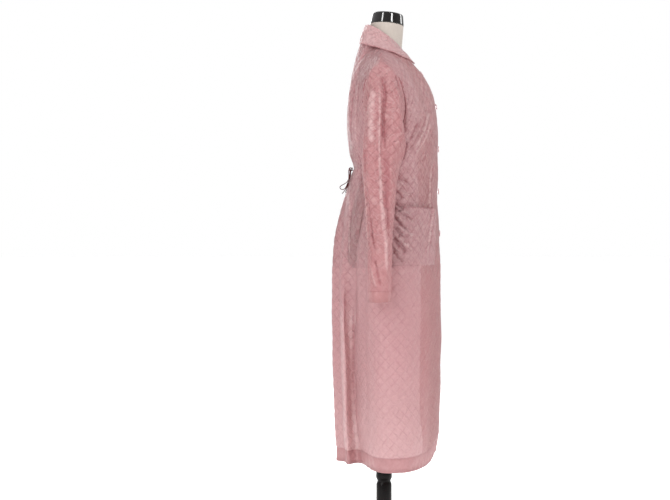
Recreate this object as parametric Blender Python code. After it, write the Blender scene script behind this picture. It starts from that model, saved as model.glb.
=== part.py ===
"""Long quilted coat with a buttoned front, worn by a limbless dress form on a stand.

Frame: metres, +Z up, the coat's front faces -Y and its right side -X. The origin lies on the
floor, under the middle of the stand. Tables give the right half with x positive outward, and
side = -1 puts it on the wearer's right, side = +1 on the left.
"""

import math

import bpy
import numpy as np

for old in list(bpy.data.objects):
    bpy.data.objects.remove(old, do_unlink=True)

# Cloth
WALL = 0.0018  # quilted cloth, two skins and its filling
PLAIN_WALL = 0.0012  # doubled plain cloth of facings
RELIEF = 0.0009  # height of a quilted diamond over its stitched lines
GAP = 0.0003  # between pieces that meet
# Coat
HEM_HEIGHT = 0.220
HEM_BAND = 0.038
ARMPIT_HEIGHT = 1.100
EDGE_LAP = 0.020  # each front runs on past the centre by this much
LEFT_INSET = 0.0064  # the left front's edge lies this far inside the right one
LAP_FULL = 0.052
LAP_FADE = 0.115
CORNER_RISE = 0.085  # rounded lower corner of each front
CORNER_LENGTH = 0.150
CORNER_FADE = 0.260
CUFF_BAND = 0.028
# Grid of the walls: columns around, rows up
FRONT_COLUMNS = 14
NECK_COLUMN = 8
BACK_COLUMNS = 18
BACK_NECK_COLUMN = 6
SKIRT_ROWS = 32
YOKE_ROWS = 12
FACING_COLUMNS = 4
SLEEVE_COLUMNS = 2 * YOKE_ROWS
SLEEVE_ROWS = 28
COLLAR_STATIONS = 21
SAMPLES = 40  # between two stations of a plan section
# Right front pocket, by columns and rows of the front's wall
POCKET_COLUMNS = (3, 10)
POCKET_ROWS = (20, 26)
POCKET_GAPE = 0.009
# Tie: a thin cord that leaves the gathered waist at two slots and is knotted in a bow
TIE_RADIUS = 0.0011
KNOT_RADIUS = 0.0047
KNOT_CENTRE = (0.0, 0.0967, 1.0600)
# Stand
FORM_SIDES = 24
CAP_SIDES = 20
POLE_SIDES = 16
BASE_SIDES = 24
BASE_RADIUS = 0.160
BASE_HEIGHT = 0.036
COLLAR_LIFT = 0.0009  # of the stand over the panels' neck edge
BUTTON_RADIUS = 0.009
BUTTON_SIDES = 10
BUTTON_HEIGHTS = (1.240, 1.118, 0.996, 0.874)
TOP_BUTTON_HEIGHT = 1.338

SECTION_COLUMNS = (
    "height", "front_y", "quarter_x", "quarter_y", "side_x", "side_y", "rear_x", "rear_y",
    "valley_x", "valley_y", "tail_x", "tail_y", "back_y", "seam",
)
BODY_SECTIONS = (
    (0.220, -0.1500, 0.100, -0.121, 0.198, -0.055, 0.188, 0.018, 0.062, 0.066, 0.074, 0.103, 0.1325, 4.00),
    (0.300, -0.1580, 0.100, -0.126, 0.200, -0.056, 0.192, 0.020, 0.064, 0.075, 0.076, 0.109, 0.1360, 4.00),
    (0.460, -0.1635, 0.104, -0.127, 0.203, -0.057, 0.196, 0.024, 0.072, 0.082, 0.080, 0.114, 0.1420, 4.00),
    (0.640, -0.1645, 0.112, -0.126, 0.205, -0.057, 0.200, 0.026, 0.088, 0.086, 0.085, 0.118, 0.1455, 4.00),
    (0.780, -0.1615, 0.120, -0.122, 0.205, -0.056, 0.203, 0.026, 0.115, 0.086, 0.080, 0.121, 0.1440, 3.95),
    (0.870, -0.1595, 0.122, -0.120, 0.203, -0.055, 0.203, 0.024, 0.135, 0.083, 0.075, 0.114, 0.1365, 3.85),
    (0.960, -0.1560, 0.122, -0.116, 0.200, -0.054, 0.200, 0.020, 0.140, 0.072, 0.075, 0.100, 0.1180, 3.65),
    (1.030, -0.1555, 0.120, -0.114, 0.196, -0.052, 0.196, 0.018, 0.140, 0.058, 0.075, 0.082, 0.0960, 3.40),
    (1.068, -0.1553, 0.120, -0.114, 0.195, -0.052, 0.195, 0.016, 0.138, 0.054, 0.072, 0.075, 0.0870, 3.20),
    (1.100, -0.1550, 0.120, -0.114, 0.197, -0.052, 0.197, 0.015, 0.145, 0.058, 0.078, 0.083, 0.0960, 3.00),
)

# Folds that hang in the skirt and back: where round the half section, and how far they move it
FOLD_COLUMNS = ("station", "half_width", "depth", "top", "bottom")
BODY_FOLDS = (
    (5.45, 0.018, -0.010, 1.045, 0.210),
    (5.80, 0.014, 0.006, 1.050, 0.210),
    (4.55, 0.016, -0.006, 1.045, 0.500),
    (3.45, 0.020, -0.007, 0.900, 0.260),
    (2.20, 0.026, -0.005, 0.700, 0.210),
)

NECKLINE_FRONT = (  # from the centre to the shoulder seam
    (0.000, -0.0800, 1.3620),
    (0.010, -0.0790, 1.3627),
    (0.026, -0.0715, 1.3675),
    (0.048, -0.0510, 1.3795),
    (0.062, -0.0280, 1.3930),
    (0.068, -0.0040, 1.4080),
)
SHOULDER_SEAM = (  # from the neck to the tip of the shoulder
    (0.068, -0.0040, 1.4080),
    (0.100, 0.0000, 1.3880),
    (0.150, 0.0060, 1.3700),
    (0.200, 0.0110, 1.3500),
)
NECKLINE_BACK = (  # from the shoulder seam to the nape
    (0.068, -0.0040, 1.4080),
    (0.066, 0.0200, 1.4220),
    (0.050, 0.0430, 1.4330),
    (0.026, 0.0560, 1.4380),
    (0.000, 0.0600, 1.4400),
)
# Handles of the curves that run up the front and back, as steps from the curve's two ends
HANDLE_COLUMNS = ("across", "low_y", "low_z", "high_x", "high_y", "high_z")
FRONT_HANDLES = (
    (0.00, -0.004, 0.075, 0.000, -0.089, -0.071),
    (0.08, -0.002, 0.074, 0.000, -0.087, -0.072),
    (0.16, -0.004, 0.075, 0.000, -0.089, -0.071),
    (0.29, -0.010, 0.080, 0.004, -0.098, -0.064),
    (0.57, -0.016, 0.090, 0.008, -0.118, -0.043),
    (0.79, -0.034, 0.090, 0.002, -0.102, -0.045),
    (1.00, -0.092, 0.070, 0.000, -0.072, -0.070),
)
BACK_HANDLES = (  # across: 0 at the armhole, 1 at the centre back
    (0.00, 0.075, 0.066, 0.000, 0.058, -0.070),
    (0.36, 0.010, 0.100, 0.000, 0.092, -0.030),
    (0.67, 0.004, 0.096, 0.004, 0.112, -0.026),
    (0.84, -0.003, 0.090, 0.004, 0.050, -0.072),
    (1.00, -0.003, 0.085, 0.000, 0.033, -0.062),
)

RING_COLUMNS = ("along", "outer_x", "outer_z", "inner_x", "inner_z", "centre_y", "half_depth")
SLEEVE_SECTIONS = (
    (0.00, 0.200, 1.350, 0.200, 1.100, 0.005, 0.053),
    (0.08, 0.230, 1.336, 0.214, 1.098, 0.004, 0.051),
    (0.17, 0.254, 1.298, 0.218, 1.091, 0.002, 0.049),
    (0.27, 0.276, 1.242, 0.220, 1.078, 0.000, 0.050),
    (0.38, 0.292, 1.166, 0.219, 1.050, -0.001, 0.056),
    (0.50, 0.300, 1.076, 0.218, 1.006, 0.009, 0.049),
    (0.62, 0.304, 0.984, 0.217, 0.940, 0.010, 0.040),
    (0.80, 0.306, 0.852, 0.217, 0.838, 0.012, 0.033),
    (1.00, 0.308, 0.716, 0.218, 0.716, 0.012, 0.031),
)
RING_FOLD_COLUMNS = ("turn", "width", "height", "start", "end")
SLEEVE_FOLDS = (  # turn: where round the ring, 0 outside, 0.25 in front, 0.5 inside
    (0.00, 0.060, -0.0150, -0.02, 0.72),
    (0.13, 0.050, 0.0050, 0.02, 0.60),
    (0.87, 0.050, 0.0060, 0.02, 0.80),
    (0.22, 0.045, -0.0060, 0.10, 0.46),
    (0.80, 0.045, -0.0060, 0.45, 1.10),
)

COLLAR_COLUMNS = ("around", "fold_x", "fold_y", "fold_z", "leaf_x", "leaf_y", "leaf_z")
COLLAR_SECTIONS = (  # around: 0 at the nape, 1 at the front edge
    (0.00, 0.000, 0.0520, 1.4790, 0.000, 0.0715, 1.4265),
    (0.25, 0.036, 0.0400, 1.4710, 0.052, 0.0640, 1.4160),
    (0.50, 0.060, 0.0080, 1.4500, 0.096, 0.0140, 1.3960),
    (0.70, 0.056, -0.0260, 1.4250, 0.100, -0.0330, 1.3800),
    (0.87, 0.034, -0.0520, 1.4020, 0.082, -0.0680, 1.3680),
    (1.00, 0.006, -0.0780, 1.3720, 0.048, -0.0880, 1.3600),
)

FORM_COLUMNS = ("height", "half_width", "front_y", "back_y", "slope")
FORM_SECTIONS = (
    (0.775, 0.150, -0.098, 0.088, 0.00),
    (0.787, 0.161, -0.107, 0.097, 0.00),
    (0.840, 0.170, -0.113, 0.102, 0.00),
    (0.920, 0.166, -0.110, 0.094, 0.00),
    (1.000, 0.140, -0.102, 0.074, 0.00),
    (1.060, 0.122, -0.099, 0.064, 0.00),
    (1.130, 0.132, -0.116, 0.074, 0.00),
    (1.200, 0.146, -0.142, 0.084, 0.00),
    (1.260, 0.156, -0.130, 0.083, 0.00),
    (1.310, 0.172, -0.098, 0.077, 0.00),
    (1.332, 0.177, -0.074, 0.072, 0.00),
    (1.347, 0.1645, -0.060, 0.068, 0.00),
    (1.359, 0.138, -0.054, 0.064, 0.00),
    (1.371, 0.106, -0.052, 0.058, 0.00),
    (1.386, 0.0775, -0.051, 0.053, 0.00),
    (1.405, 0.0594, -0.051, 0.048, 0.00),
    (1.430, 0.051, -0.053, 0.043, 0.04),
    (1.4775, 0.048, -0.0565, 0.0394, 0.08),
)


def material(name, colour, roughness, metallic=0.0):
    """A plain Principled material."""
    made = bpy.data.materials.new(name)
    made.use_nodes = True
    shader = made.node_tree.nodes["Principled BSDF"]
    shader.inputs["Base Color"].default_value = (*colour, 1.0)
    shader.inputs["Roughness"].default_value = roughness
    shader.inputs["Metallic"].default_value = metallic
    return made


QUILTED_CLOTH = material("quilted pink cloth", (0.600, 0.320, 0.330), 0.45)
PLAIN_CLOTH = material("plain pink cloth", (0.540, 0.260, 0.270), 0.50)
TIE_CLOTH = material("tie cord", (0.330, 0.150, 0.150), 0.60)
BUTTON_PLASTIC = material("button plastic", (0.720, 0.520, 0.530), 0.25)
FORM_JERSEY = material("form jersey", (0.560, 0.520, 0.470), 0.80)
BLACK_GLOSS = material("black gloss", (0.012, 0.011, 0.011), 0.15)
BLACK_WOOD = material("black turned wood", (0.010, 0.009, 0.009), 0.40)


def smooth(value, low, high):
    """0 below low and 1 above high, eased between them; low may be the larger."""
    share = np.clip((np.asarray(value, dtype=float) - low) / (high - low), 0.0, 1.0)
    return share * share * (3.0 - 2.0 * share)


def table_at(columns, rows, key):
    """A table's row by column name, read as a smooth curve at one value of its first column."""
    data = np.array(rows, dtype=float)
    keys = data[:, 0]
    slopes = np.gradient(data, keys, axis=0)
    key = min(max(key, keys[0]), keys[-1])
    k = min(max(int(np.searchsorted(keys, key)) - 1, 0), len(keys) - 2)
    span = keys[k + 1] - keys[k]
    t = (key - keys[k]) / span
    first = (1 + 2 * t) * (1 - t) ** 2 * data[k] + t * (1 - t) ** 2 * span * slopes[k]
    second = t * t * (3 - 2 * t) * data[k + 1] + t * t * (t - 1) * span * slopes[k + 1]
    return dict(zip(columns, first + second))


def catmull(points, where, loop=False):
    """Points on the smooth curve through points, at station numbers where."""
    points = np.array(points, dtype=float)
    count = len(points)
    where = np.asarray(where, dtype=float)
    k = np.floor(where).astype(int)
    if not loop:
        k = np.clip(k, 0, count - 2)
    t = (where - k)[:, None]
    if loop:
        p0, p1, p2, p3 = (points[(k + step) % count] for step in (-1, 0, 1, 2))
    else:
        p0, p1, p2, p3 = (points[np.clip(k + step, 0, count - 1)] for step in (-1, 0, 1, 2))
    return 0.5 * (
        2 * p1
        + (p2 - p0) * t
        + (2 * p0 - 5 * p1 + 4 * p2 - p3) * t**2
        + (3 * p1 - p0 - 3 * p2 + p3) * t**3
    )


def arc_lengths(points):
    """Distance along a line of points, from its first point."""
    steps = np.linalg.norm(np.diff(points, axis=0), axis=1)
    return np.concatenate([[0.0], np.cumsum(steps)])


def spread(points, count):
    """count + 1 points spaced evenly along a line of points."""
    reach = arc_lengths(points)
    even = np.linspace(0.0, reach[-1], count + 1)
    return np.stack([np.interp(even, reach, points[:, axis]) for axis in range(3)], axis=1)


def unit(vectors):
    return vectors / np.maximum(np.linalg.norm(vectors, axis=-1, keepdims=True), 1e-12)


def plan_section(height, low, high):
    """Points and outward normals of the coat's plan at a height, between two stations.

    Stations count round the section from 0 at the centre front by way of the right side to
    6 at the centre back, and on by the left side to 12.
    """
    row = table_at(SECTION_COLUMNS, BODY_SECTIONS, height)
    half = [
        (0.0, row["front_y"]),
        (row["quarter_x"], row["quarter_y"]),
        (row["side_x"], row["side_y"]),
        (row["rear_x"], row["rear_y"]),
        (row["valley_x"], row["valley_y"]),
        (row["tail_x"], row["tail_y"]),
        (0.0, row["back_y"]),
    ]
    stations = half + [(-x, y) for x, y in half[-2:0:-1]]
    where = np.linspace(low, high, int((high - low) * SAMPLES) + 2)
    flat = catmull(stations, where, loop=True)
    along = np.gradient(flat, axis=0)
    normal = unit(np.stack([-along[:, 1], along[:, 0]], axis=1)) * -1.0
    reach = arc_lengths(flat)
    for fold in (dict(zip(FOLD_COLUMNS, values)) for values in BODY_FOLDS):
        top, bottom = fold["top"], fold["bottom"]
        length = (top - bottom) / 4
        share = smooth(height, top, top - length)
        if bottom > HEM_HEIGHT:
            share = share * smooth(height, bottom, bottom + length)
        for centre in (fold["station"], 12.0 - fold["station"]):
            if low - 1.0 < centre < high + 1.0:
                middle = np.interp(centre, where, reach)
                bump = np.exp(-(((reach - middle) / fold["half_width"]) ** 2))
                flat = flat + normal * (fold["depth"] * share * bump)[:, None]
    points = np.column_stack([flat, np.full(len(flat), height)])
    normals = np.column_stack([normal, np.zeros(len(flat))])
    return where, points, normals


def level_row(height, part, columns):
    """One level row of the front (part "front") or of the back, and its outward normals."""
    seam = table_at(SECTION_COLUMNS, BODY_SECTIONS, height)["seam"]
    if part == "front":
        where, points, normals = plan_section(height, -0.5, seam)
        reach = arc_lengths(points)
        start = np.interp(0.0, where, reach) - EDGE_LAP
    else:
        where, points, normals = plan_section(height, seam, 12.0 - seam)
        reach = arc_lengths(points)
        start = 0.0
    even = np.linspace(start, reach[-1], columns + 1)
    row = np.stack([np.interp(even, reach, points[:, axis]) for axis in range(3)], axis=1)
    turned = np.stack([np.interp(even, reach, normals[:, axis]) for axis in range(3)], axis=1)
    return row, unit(turned), even - start


def skirt_row(height, part, columns):
    """A row of the skirt; the front's rows rise to their edge over its rounded corner."""
    row, normals, reach = level_row(height, part, columns)
    fade = 1 - float(smooth(height, HEM_HEIGHT, HEM_HEIGHT + CORNER_FADE))
    if part == "front" and fade > 0.0:
        for i in range(columns + 1):
            lift = fade * CORNER_RISE * max(0.0, 1 - reach[i] / CORNER_LENGTH) ** 2
            if lift > 0.0:
                lifted, turned, _ = level_row(height + lift, part, columns)
                row[i], normals[i] = lifted[i], turned[i]
    return row, normals


def line_through(stations, count):
    """count + 1 evenly spaced points on the smooth curve through a table of points."""
    dense = catmull(stations, np.linspace(0.0, len(stations) - 1.0, 20 * len(stations)))
    return spread(dense, count)


def mirrored(points):
    """The same points on the other side of the coat."""
    flipped = np.array(points, dtype=float)
    flipped[..., 0] *= -1.0
    return flipped


def front_top(columns):
    """The front's upper edge: lap, neckline and shoulder seam."""
    neck = catmull(NECKLINE_FRONT, np.linspace(0.0, len(NECKLINE_FRONT) - 1.0, 60))
    over = np.array([EDGE_LAP, EDGE_LAP / 2])
    lap = mirrored(np.stack([np.interp(over, neck[:, 0], neck[:, axis]) for axis in range(3)], axis=1))
    corner = round(columns * NECK_COLUMN / FRONT_COLUMNS)
    near = spread(np.vstack([lap, neck]), corner)
    far = line_through(SHOULDER_SEAM, columns - corner)
    return np.vstack([near, far[1:]])


def back_top(columns):
    """The back's upper edge: right shoulder seam, neckline and left shoulder seam."""
    corner = round(columns * BACK_NECK_COLUMN / BACK_COLUMNS)
    shoulder = line_through(SHOULDER_SEAM, corner)[::-1]
    neck = line_through(NECKLINE_BACK, columns // 2 - corner)
    right = np.vstack([shoulder, neck[1:]])
    return np.vstack([right, mirrored(right[-2::-1])])


def yoke_rows(part, columns, rows):
    """Rows above the armpit: a curve for each column, up to the neckline or shoulder seam."""
    foot, _ = skirt_row(ARMPIT_HEIGHT, part, columns)
    below, _ = skirt_row(ARMPIT_HEIGHT - 0.01, part, columns)
    slope = (foot - below) / 0.01
    top = front_top(columns) if part == "front" else back_top(columns)
    across = np.linspace(0.0, 1.0, columns + 1)
    grid = np.zeros((rows + 1, columns + 1, 3))
    t = np.linspace(0.0, 1.0, 60)[:, None]
    for i, share in enumerate(across):
        if part == "front":
            handle = table_at(HANDLE_COLUMNS, FRONT_HANDLES, share)
        else:
            handle = table_at(HANDLE_COLUMNS, BACK_HANDLES, 1.0 - abs(2.0 * share - 1.0))
        side = -1.0 if part == "back" and share > 0.5 else 1.0
        low = foot[i] + slope[i] * handle["low_z"] + np.array([0.0, handle["low_y"], 0.0])
        high = top[i] + np.array([side * handle["high_x"], handle["high_y"], handle["high_z"]])
        curve = (
            (1 - t) ** 3 * foot[i]
            + 3 * (1 - t) ** 2 * t * low
            + 3 * (1 - t) * t**2 * high
            + t**3 * top[i]
        )
        grid[:, i] = spread(curve, rows)
    return grid


def grid_normals(grid):
    """Unit normals of a grid of points; their sense follows its rows and columns."""
    return unit(np.cross(np.gradient(grid, axis=1), np.gradient(grid, axis=0)))


def body_wall(part, columns, skirt_rows=SKIRT_ROWS, yoke=YOKE_ROWS):
    """Points and outward normals of the front or back, from the hem band to its top edge."""
    heights = np.linspace(HEM_HEIGHT + HEM_BAND, ARMPIT_HEIGHT, skirt_rows + 1)
    lower = [skirt_row(height, part, columns) for height in heights]
    upper = yoke_rows(part, columns, yoke)
    upper_normals = grid_normals(upper)
    points = np.concatenate([[row for row, _ in lower], upper[1:]])
    normals = np.concatenate([[turned for _, turned in lower], upper_normals[1:]])
    if part == "front":
        shoulders = [(round(columns * NECK_COLUMN / FRONT_COLUMNS), columns)]
    else:
        corner = round(columns * BACK_NECK_COLUMN / BACK_COLUMNS)
        shoulders = [(0, corner), (columns - corner, columns)]
    for first, last in shoulders:
        along = np.gradient(points[-1, first : last + 1], axis=0)
        up = unit(np.cross(along, np.array([0.0, 1.0, 0.0])))
        normals[-1, first : last + 1] = up * np.sign(up[:, 2:3])
    return points, normals


def inset_left(points, normals):
    """The left front, whose edge lies under the right one's."""
    reach = np.linalg.norm(np.diff(points, axis=1), axis=2)
    reach = np.concatenate([np.zeros((len(points), 1)), np.cumsum(reach, axis=1)], axis=1)
    inward = LEFT_INSET * (1 - smooth(reach, LAP_FULL, LAP_FADE))
    return points - normals * inward[..., None]


def open_seams(grid, left=False, right=False, bottom=False, top=False):
    """Draws the named edges of a grid in by half of the gap between two pieces."""
    moved = grid.copy()
    if left:
        moved[:, 0] += unit(grid[:, 1] - grid[:, 0]) * GAP / 2
    if right:
        moved[:, -1] += unit(grid[:, -2] - grid[:, -1]) * GAP / 2
    if bottom:
        moved[0] += unit(grid[1] - grid[0]) * GAP / 2
    if top:
        moved[-1] += unit(grid[-2] - grid[-1]) * GAP / 2
    return moved


def quilted(grid, normals, relief=RELIEF, loop=False):
    """The grid with every second crossing raised, which makes a pattern of diamonds."""
    raised = grid.copy()
    rows, columns = grid.shape[:2]
    for j in range(1, rows - 1):
        for i in range(0 if loop else 1, columns if loop else columns - 1):
            if (i + j) % 2:
                raised[j, i] += normals[j, i] * relief
    return raised


def add_object(name, vertices, faces, look):
    """A closed mesh as an object, its faces turned outward."""
    mesh = bpy.data.meshes.new(name)
    mesh.from_pydata([tuple(map(float, v)) for v in vertices], [], faces)
    mesh.update()
    signed = 0.0
    for face in faces:
        a, b, c = (np.array(vertices[k]) for k in face[:3])
        signed += float(np.dot(a, np.cross(b, c)))
        if len(face) > 3:
            d = np.array(vertices[face[3]])
            signed += float(np.dot(a, np.cross(c, d)))
    if signed < 0.0:
        mesh.flip_normals()
    mesh.materials.append(look)
    mesh.shade_smooth()
    mesh.set_sharp_from_angle(angle=math.radians(35.0))
    made = bpy.data.objects.new(name, mesh)
    bpy.context.collection.objects.link(made)
    return made


def wall(name, outer, inner, look, picks=None, loop=False, numbers=None):
    """A closed cloth wall between two grids of points.

    outer has every row; inner keeps the rows in picks, with all their columns. A loop is a
    tube whose last column joins the first. numbers are the rows' numbers in the panel that
    the wall lies on, so that both split their faces the same way.
    """
    rows, columns = outer.shape[:2]
    picks = list(range(rows)) if picks is None else picks
    numbers = list(range(rows)) if numbers is None else numbers
    vertices = list(outer.reshape(-1, 3)) + list(inner[picks].reshape(-1, 3))
    base = rows * columns
    around = columns if loop else columns - 1

    def out(j, i):
        return j * columns + i % columns

    def into(p, i):
        return base + p * columns + i % columns

    faces = []
    for j in range(rows - 1):
        for i in range(around):
            a, b, c, d = out(j, i), out(j, i + 1), out(j + 1, i + 1), out(j + 1, i)
            if (i + numbers[j]) % 2 == 0:
                faces += [(a, b, c), (a, c, d)]
            else:
                faces += [(a, b, d), (b, c, d)]
    for p in range(len(picks) - 1):
        for i in range(around):
            a, b, c, d = into(p, i), into(p, i + 1), into(p + 1, i + 1), into(p + 1, i)
            if (i + numbers[picks[p]]) % 2 == 0:
                faces += [(c, b, a), (d, c, a)]
            else:
                faces += [(d, b, a), (d, c, b)]
    for i in range(around):
        faces.append((into(0, i), into(0, i + 1), out(0, i + 1)))
        faces.append((into(0, i), out(0, i + 1), out(0, i)))
        last, top = rows - 1, len(picks) - 1
        faces.append((out(last, i + 1), into(top, i + 1), into(top, i)))
        faces.append((out(last, i), out(last, i + 1), into(top, i)))
    if not loop:
        for p in range(len(picks) - 1):
            half = (picks[p] + picks[p + 1]) // 2
            for j in range(picks[p], picks[p + 1]):
                near = p if j < half else p + 1
                faces.append((out(j, 0), out(j + 1, 0), into(near, 0)))
                faces.append((out(j + 1, columns - 1), out(j, columns - 1), into(near, columns - 1)))
            faces.append((out(half, 0), into(p + 1, 0), into(p, 0)))
            faces.append((out(half, columns - 1), into(p, columns - 1), into(p + 1, columns - 1)))
    return add_object(name, vertices, faces, look)


def turned(name, profile, sides, look, centre=(0.0, 0.0), tilt=0.0, pivot=0.0):
    """A turned solid from (radius, height) points, bottom to top, closed at both ends."""
    angles = np.linspace(0.0, 2.0 * math.pi, sides, endpoint=False)
    vertices = []
    for radius, height in profile:
        ring = [(radius * math.cos(a), radius * math.sin(a), height - pivot) for a in angles]
        for x, y, z in ring:
            leaned_y = y * math.cos(tilt) - z * math.sin(tilt)
            leaned_z = y * math.sin(tilt) + z * math.cos(tilt)
            vertices.append((x + centre[0], leaned_y + centre[1], leaned_z + pivot))
    faces = []
    for j in range(len(profile) - 1):
        for i in range(sides):
            k = (i + 1) % sides
            faces.append((j * sides + i, j * sides + k, (j + 1) * sides + k, (j + 1) * sides + i))
    faces.append(tuple(reversed(range(sides))))
    last = (len(profile) - 1) * sides
    faces.append(tuple(range(last, last + sides)))
    return add_object(name, vertices, faces, look)


def placed(points, side):
    """Table points, x outward, on the wearer's right (side -1) or left (+1)."""
    return points * np.array([side, 1.0, 1.0])


def build_front(name, side):
    points, normals = body_wall("front", FRONT_COLUMNS)
    if side > 0:
        points = inset_left(points, normals)
    points = open_seams(points, right=True, bottom=True, top=True)
    outer = quilted(points, normals)
    inner = points - normals * WALL
    picks = body_picks(len(points))
    wall(name, placed(outer, side), placed(inner, side), QUILTED_CLOTH, picks)
    facing_outer = (inner - normals * GAP)[:, : FACING_COLUMNS + 1]
    facing_inner = (inner - normals * (GAP + PLAIN_WALL))[:, : FACING_COLUMNS + 1]
    facing_name = name.replace("front", "facing")
    wall(
        facing_name,
        placed(facing_outer[picks], side),
        placed(facing_inner[picks], side),
        PLAIN_CLOTH,
        numbers=picks,
    )
    return points, normals


def body_picks(rows):
    """Rows kept inside a body wall: sparse down the skirt, close together above it."""
    sparse = list(range(0, 21, 4))
    close = list(range(22, SKIRT_ROWS + 1, 2))
    every = list(range(SKIRT_ROWS + 1, rows))
    return sparse + close + every


def build_back():
    points, normals = body_wall("back", BACK_COLUMNS)
    points = open_seams(points, left=True, right=True, bottom=True, top=True)
    outer = quilted(points, normals)
    inner = points - normals * WALL
    picks = body_picks(len(points))
    wall("back", placed(outer, -1), placed(inner, -1), QUILTED_CLOTH, picks)
    return points, normals


def build_hem(name, part, side):
    """The doubled band below a panel."""
    columns = FRONT_COLUMNS if part == "front" else BACK_COLUMNS
    heights = np.linspace(HEM_HEIGHT, HEM_HEIGHT + HEM_BAND, 3)
    rows = [skirt_row(height, part, columns) for height in heights]
    points = np.array([row for row, _ in rows])
    normals = np.array([out for _, out in rows])
    if part == "front" and side > 0:
        points = inset_left(points, normals)
    points = open_seams(points, left=part == "back", right=True, top=True)
    wall(name, placed(points, side), placed(points - normals * WALL, side), PLAIN_CLOTH)


def armhole(columns):
    """The sleeve's first ring, on the edge of the armhole, and its columns' directions."""
    half = columns // 2
    front, _ = body_wall("front", FRONT_COLUMNS, yoke=half)
    back, _ = body_wall("back", BACK_COLUMNS, yoke=half)
    front_edge = front[-half - 1:, -1] + unit(front[-half - 1:, -1] - front[-half - 1:, -2]) * GAP
    back_edge = back[-half - 1:, 0] + unit(back[-half - 1:, 0] - back[-half - 1:, 1]) * GAP
    tip = (front_edge[-1] + back_edge[-1]) / 2 + np.array([GAP, 0.0, 0.0])
    pit = (front_edge[0] + back_edge[0]) / 2 + np.array([0.0, 0.0, GAP])
    ring = [tip] + list(front_edge[-2:0:-1]) + [pit] + list(back_edge[1:-1])
    return np.array(ring)


def sleeve_grid(columns, rows):
    """Rings of the sleeve from the armhole to the cuff, and their outward normals."""
    edge = armhole(columns)
    turns = np.arange(columns) / columns
    angles = 2.0 * math.pi * turns
    grid = np.zeros((rows + 1, columns, 3))
    for j, along in enumerate(np.linspace(0.0, 1.0, rows + 1)):
        row = table_at(RING_COLUMNS, SLEEVE_SECTIONS, along)
        outer = np.array([row["outer_x"], row["centre_y"], row["outer_z"]])
        inner = np.array([row["inner_x"], row["centre_y"], row["inner_z"]])
        middle, arm = (outer + inner) / 2, (outer - inner) / 2
        depth = np.array([0.0, -row["half_depth"], 0.0])
        ring = middle + np.outer(np.cos(angles), arm) + np.outer(np.sin(angles), depth)
        for fold in (dict(zip(RING_FOLD_COLUMNS, values)) for values in SLEEVE_FOLDS):
            start, end = fold["start"], fold["end"]
            away = (turns - fold["turn"] + 0.5) % 1.0 - 0.5
            fade = smooth(along, start, start + 0.12) * (1 - smooth(along, end - 0.25, end))
            bump = fold["height"] * fade * np.exp(-((away / fold["width"]) ** 2))
            ring = ring + unit(ring - middle) * bump[:, None]
        eased = float(smooth(along, 0.0, 0.18))
        blend = np.array([min(along / 0.10, 1.0), eased, eased])
        grid[j] = (1 - blend) * edge + blend * ring
    looped = np.concatenate([grid[:, -1:], grid, grid[:, :1]], axis=1)
    normals = grid_normals(looped)[:, 1:-1]
    middles = grid.mean(axis=1, keepdims=True)
    facing = np.sum(normals * (grid - middles)) < 0.0
    return grid, -normals if facing else normals


def sleeve_picks():
    """Rings kept inside the sleeve: all of them round the cap, fewer in the straight arm."""
    return list(range(0, 13)) + list(range(14, SLEEVE_ROWS - 5, 3)) + [SLEEVE_ROWS - 3, SLEEVE_ROWS]


def build_sleeve(name, side):
    grid, normals = sleeve_grid(SLEEVE_COLUMNS, SLEEVE_ROWS)
    outer = quilted(grid, normals, loop=True)
    inner = grid - normals * WALL
    wall(name, placed(outer, side), placed(inner, side), QUILTED_CLOTH, sleeve_picks(), loop=True)
    last, before = grid[-1], grid[-2]
    down = unit(last - before)
    steps = np.array([GAP, CUFF_BAND])
    cuff = np.array([last + down * step for step in steps])
    out = np.array([normals[-1], normals[-1]])
    wall(
        name.replace("sleeve", "cuff"),
        placed(cuff, side),
        placed(cuff - out * WALL, side),
        PLAIN_CLOTH,
        loop=True,
    )


def build_collar():
    """One folded piece: a stand up from the neck seam and a leaf that falls over it."""
    stations = np.linspace(-1.0, 1.0, COLLAR_STATIONS)
    back_half, front_half = line_through(NECKLINE_BACK, 60), line_through(NECKLINE_FRONT, 60)
    neckline = np.vstack([back_half[::-1], front_half[-2::-1]])
    reach = arc_lengths(neckline)
    rows = []
    for station in stations:
        row = table_at(COLLAR_COLUMNS, COLLAR_SECTIONS, abs(station))
        fold, leaf = (
            np.array([row[f"{part}_{axis}"] for axis in "xyz"]) for part in ("fold", "leaf")
        )
        share = abs(station) * reach[-1]
        seam = np.array([np.interp(share, reach, neckline[:, axis]) for axis in range(3)])
        seam += np.array([0.0, 0.0, COLLAR_LIFT])
        outward = unit(np.array([fold[0], fold[1] + 0.012, 0.0]) + 1e-9)
        roll = min(0.004, 0.4 * float(np.linalg.norm(fold - seam)))
        path = [
            seam,
            (seam + fold) / 2 - outward * 0.0005,
            fold - outward * roll * 0.6 - np.array([0.0, 0.0, roll]),
            fold,
            fold + outward * roll - np.array([0.0, 0.0, roll]),
            (fold + leaf) / 2 + outward * 0.003,
            leaf,
        ]
        line = np.array(path)
        if station < 0:
            line[:, 0] *= -1.0
        rows.append(line)
    grid = np.array(rows)
    normals = grid_normals(grid)
    half = PLAIN_WALL / 2
    wall("collar", placed(grid + normals * half, -1), placed(grid - normals * half, -1), PLAIN_CLOTH)


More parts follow.
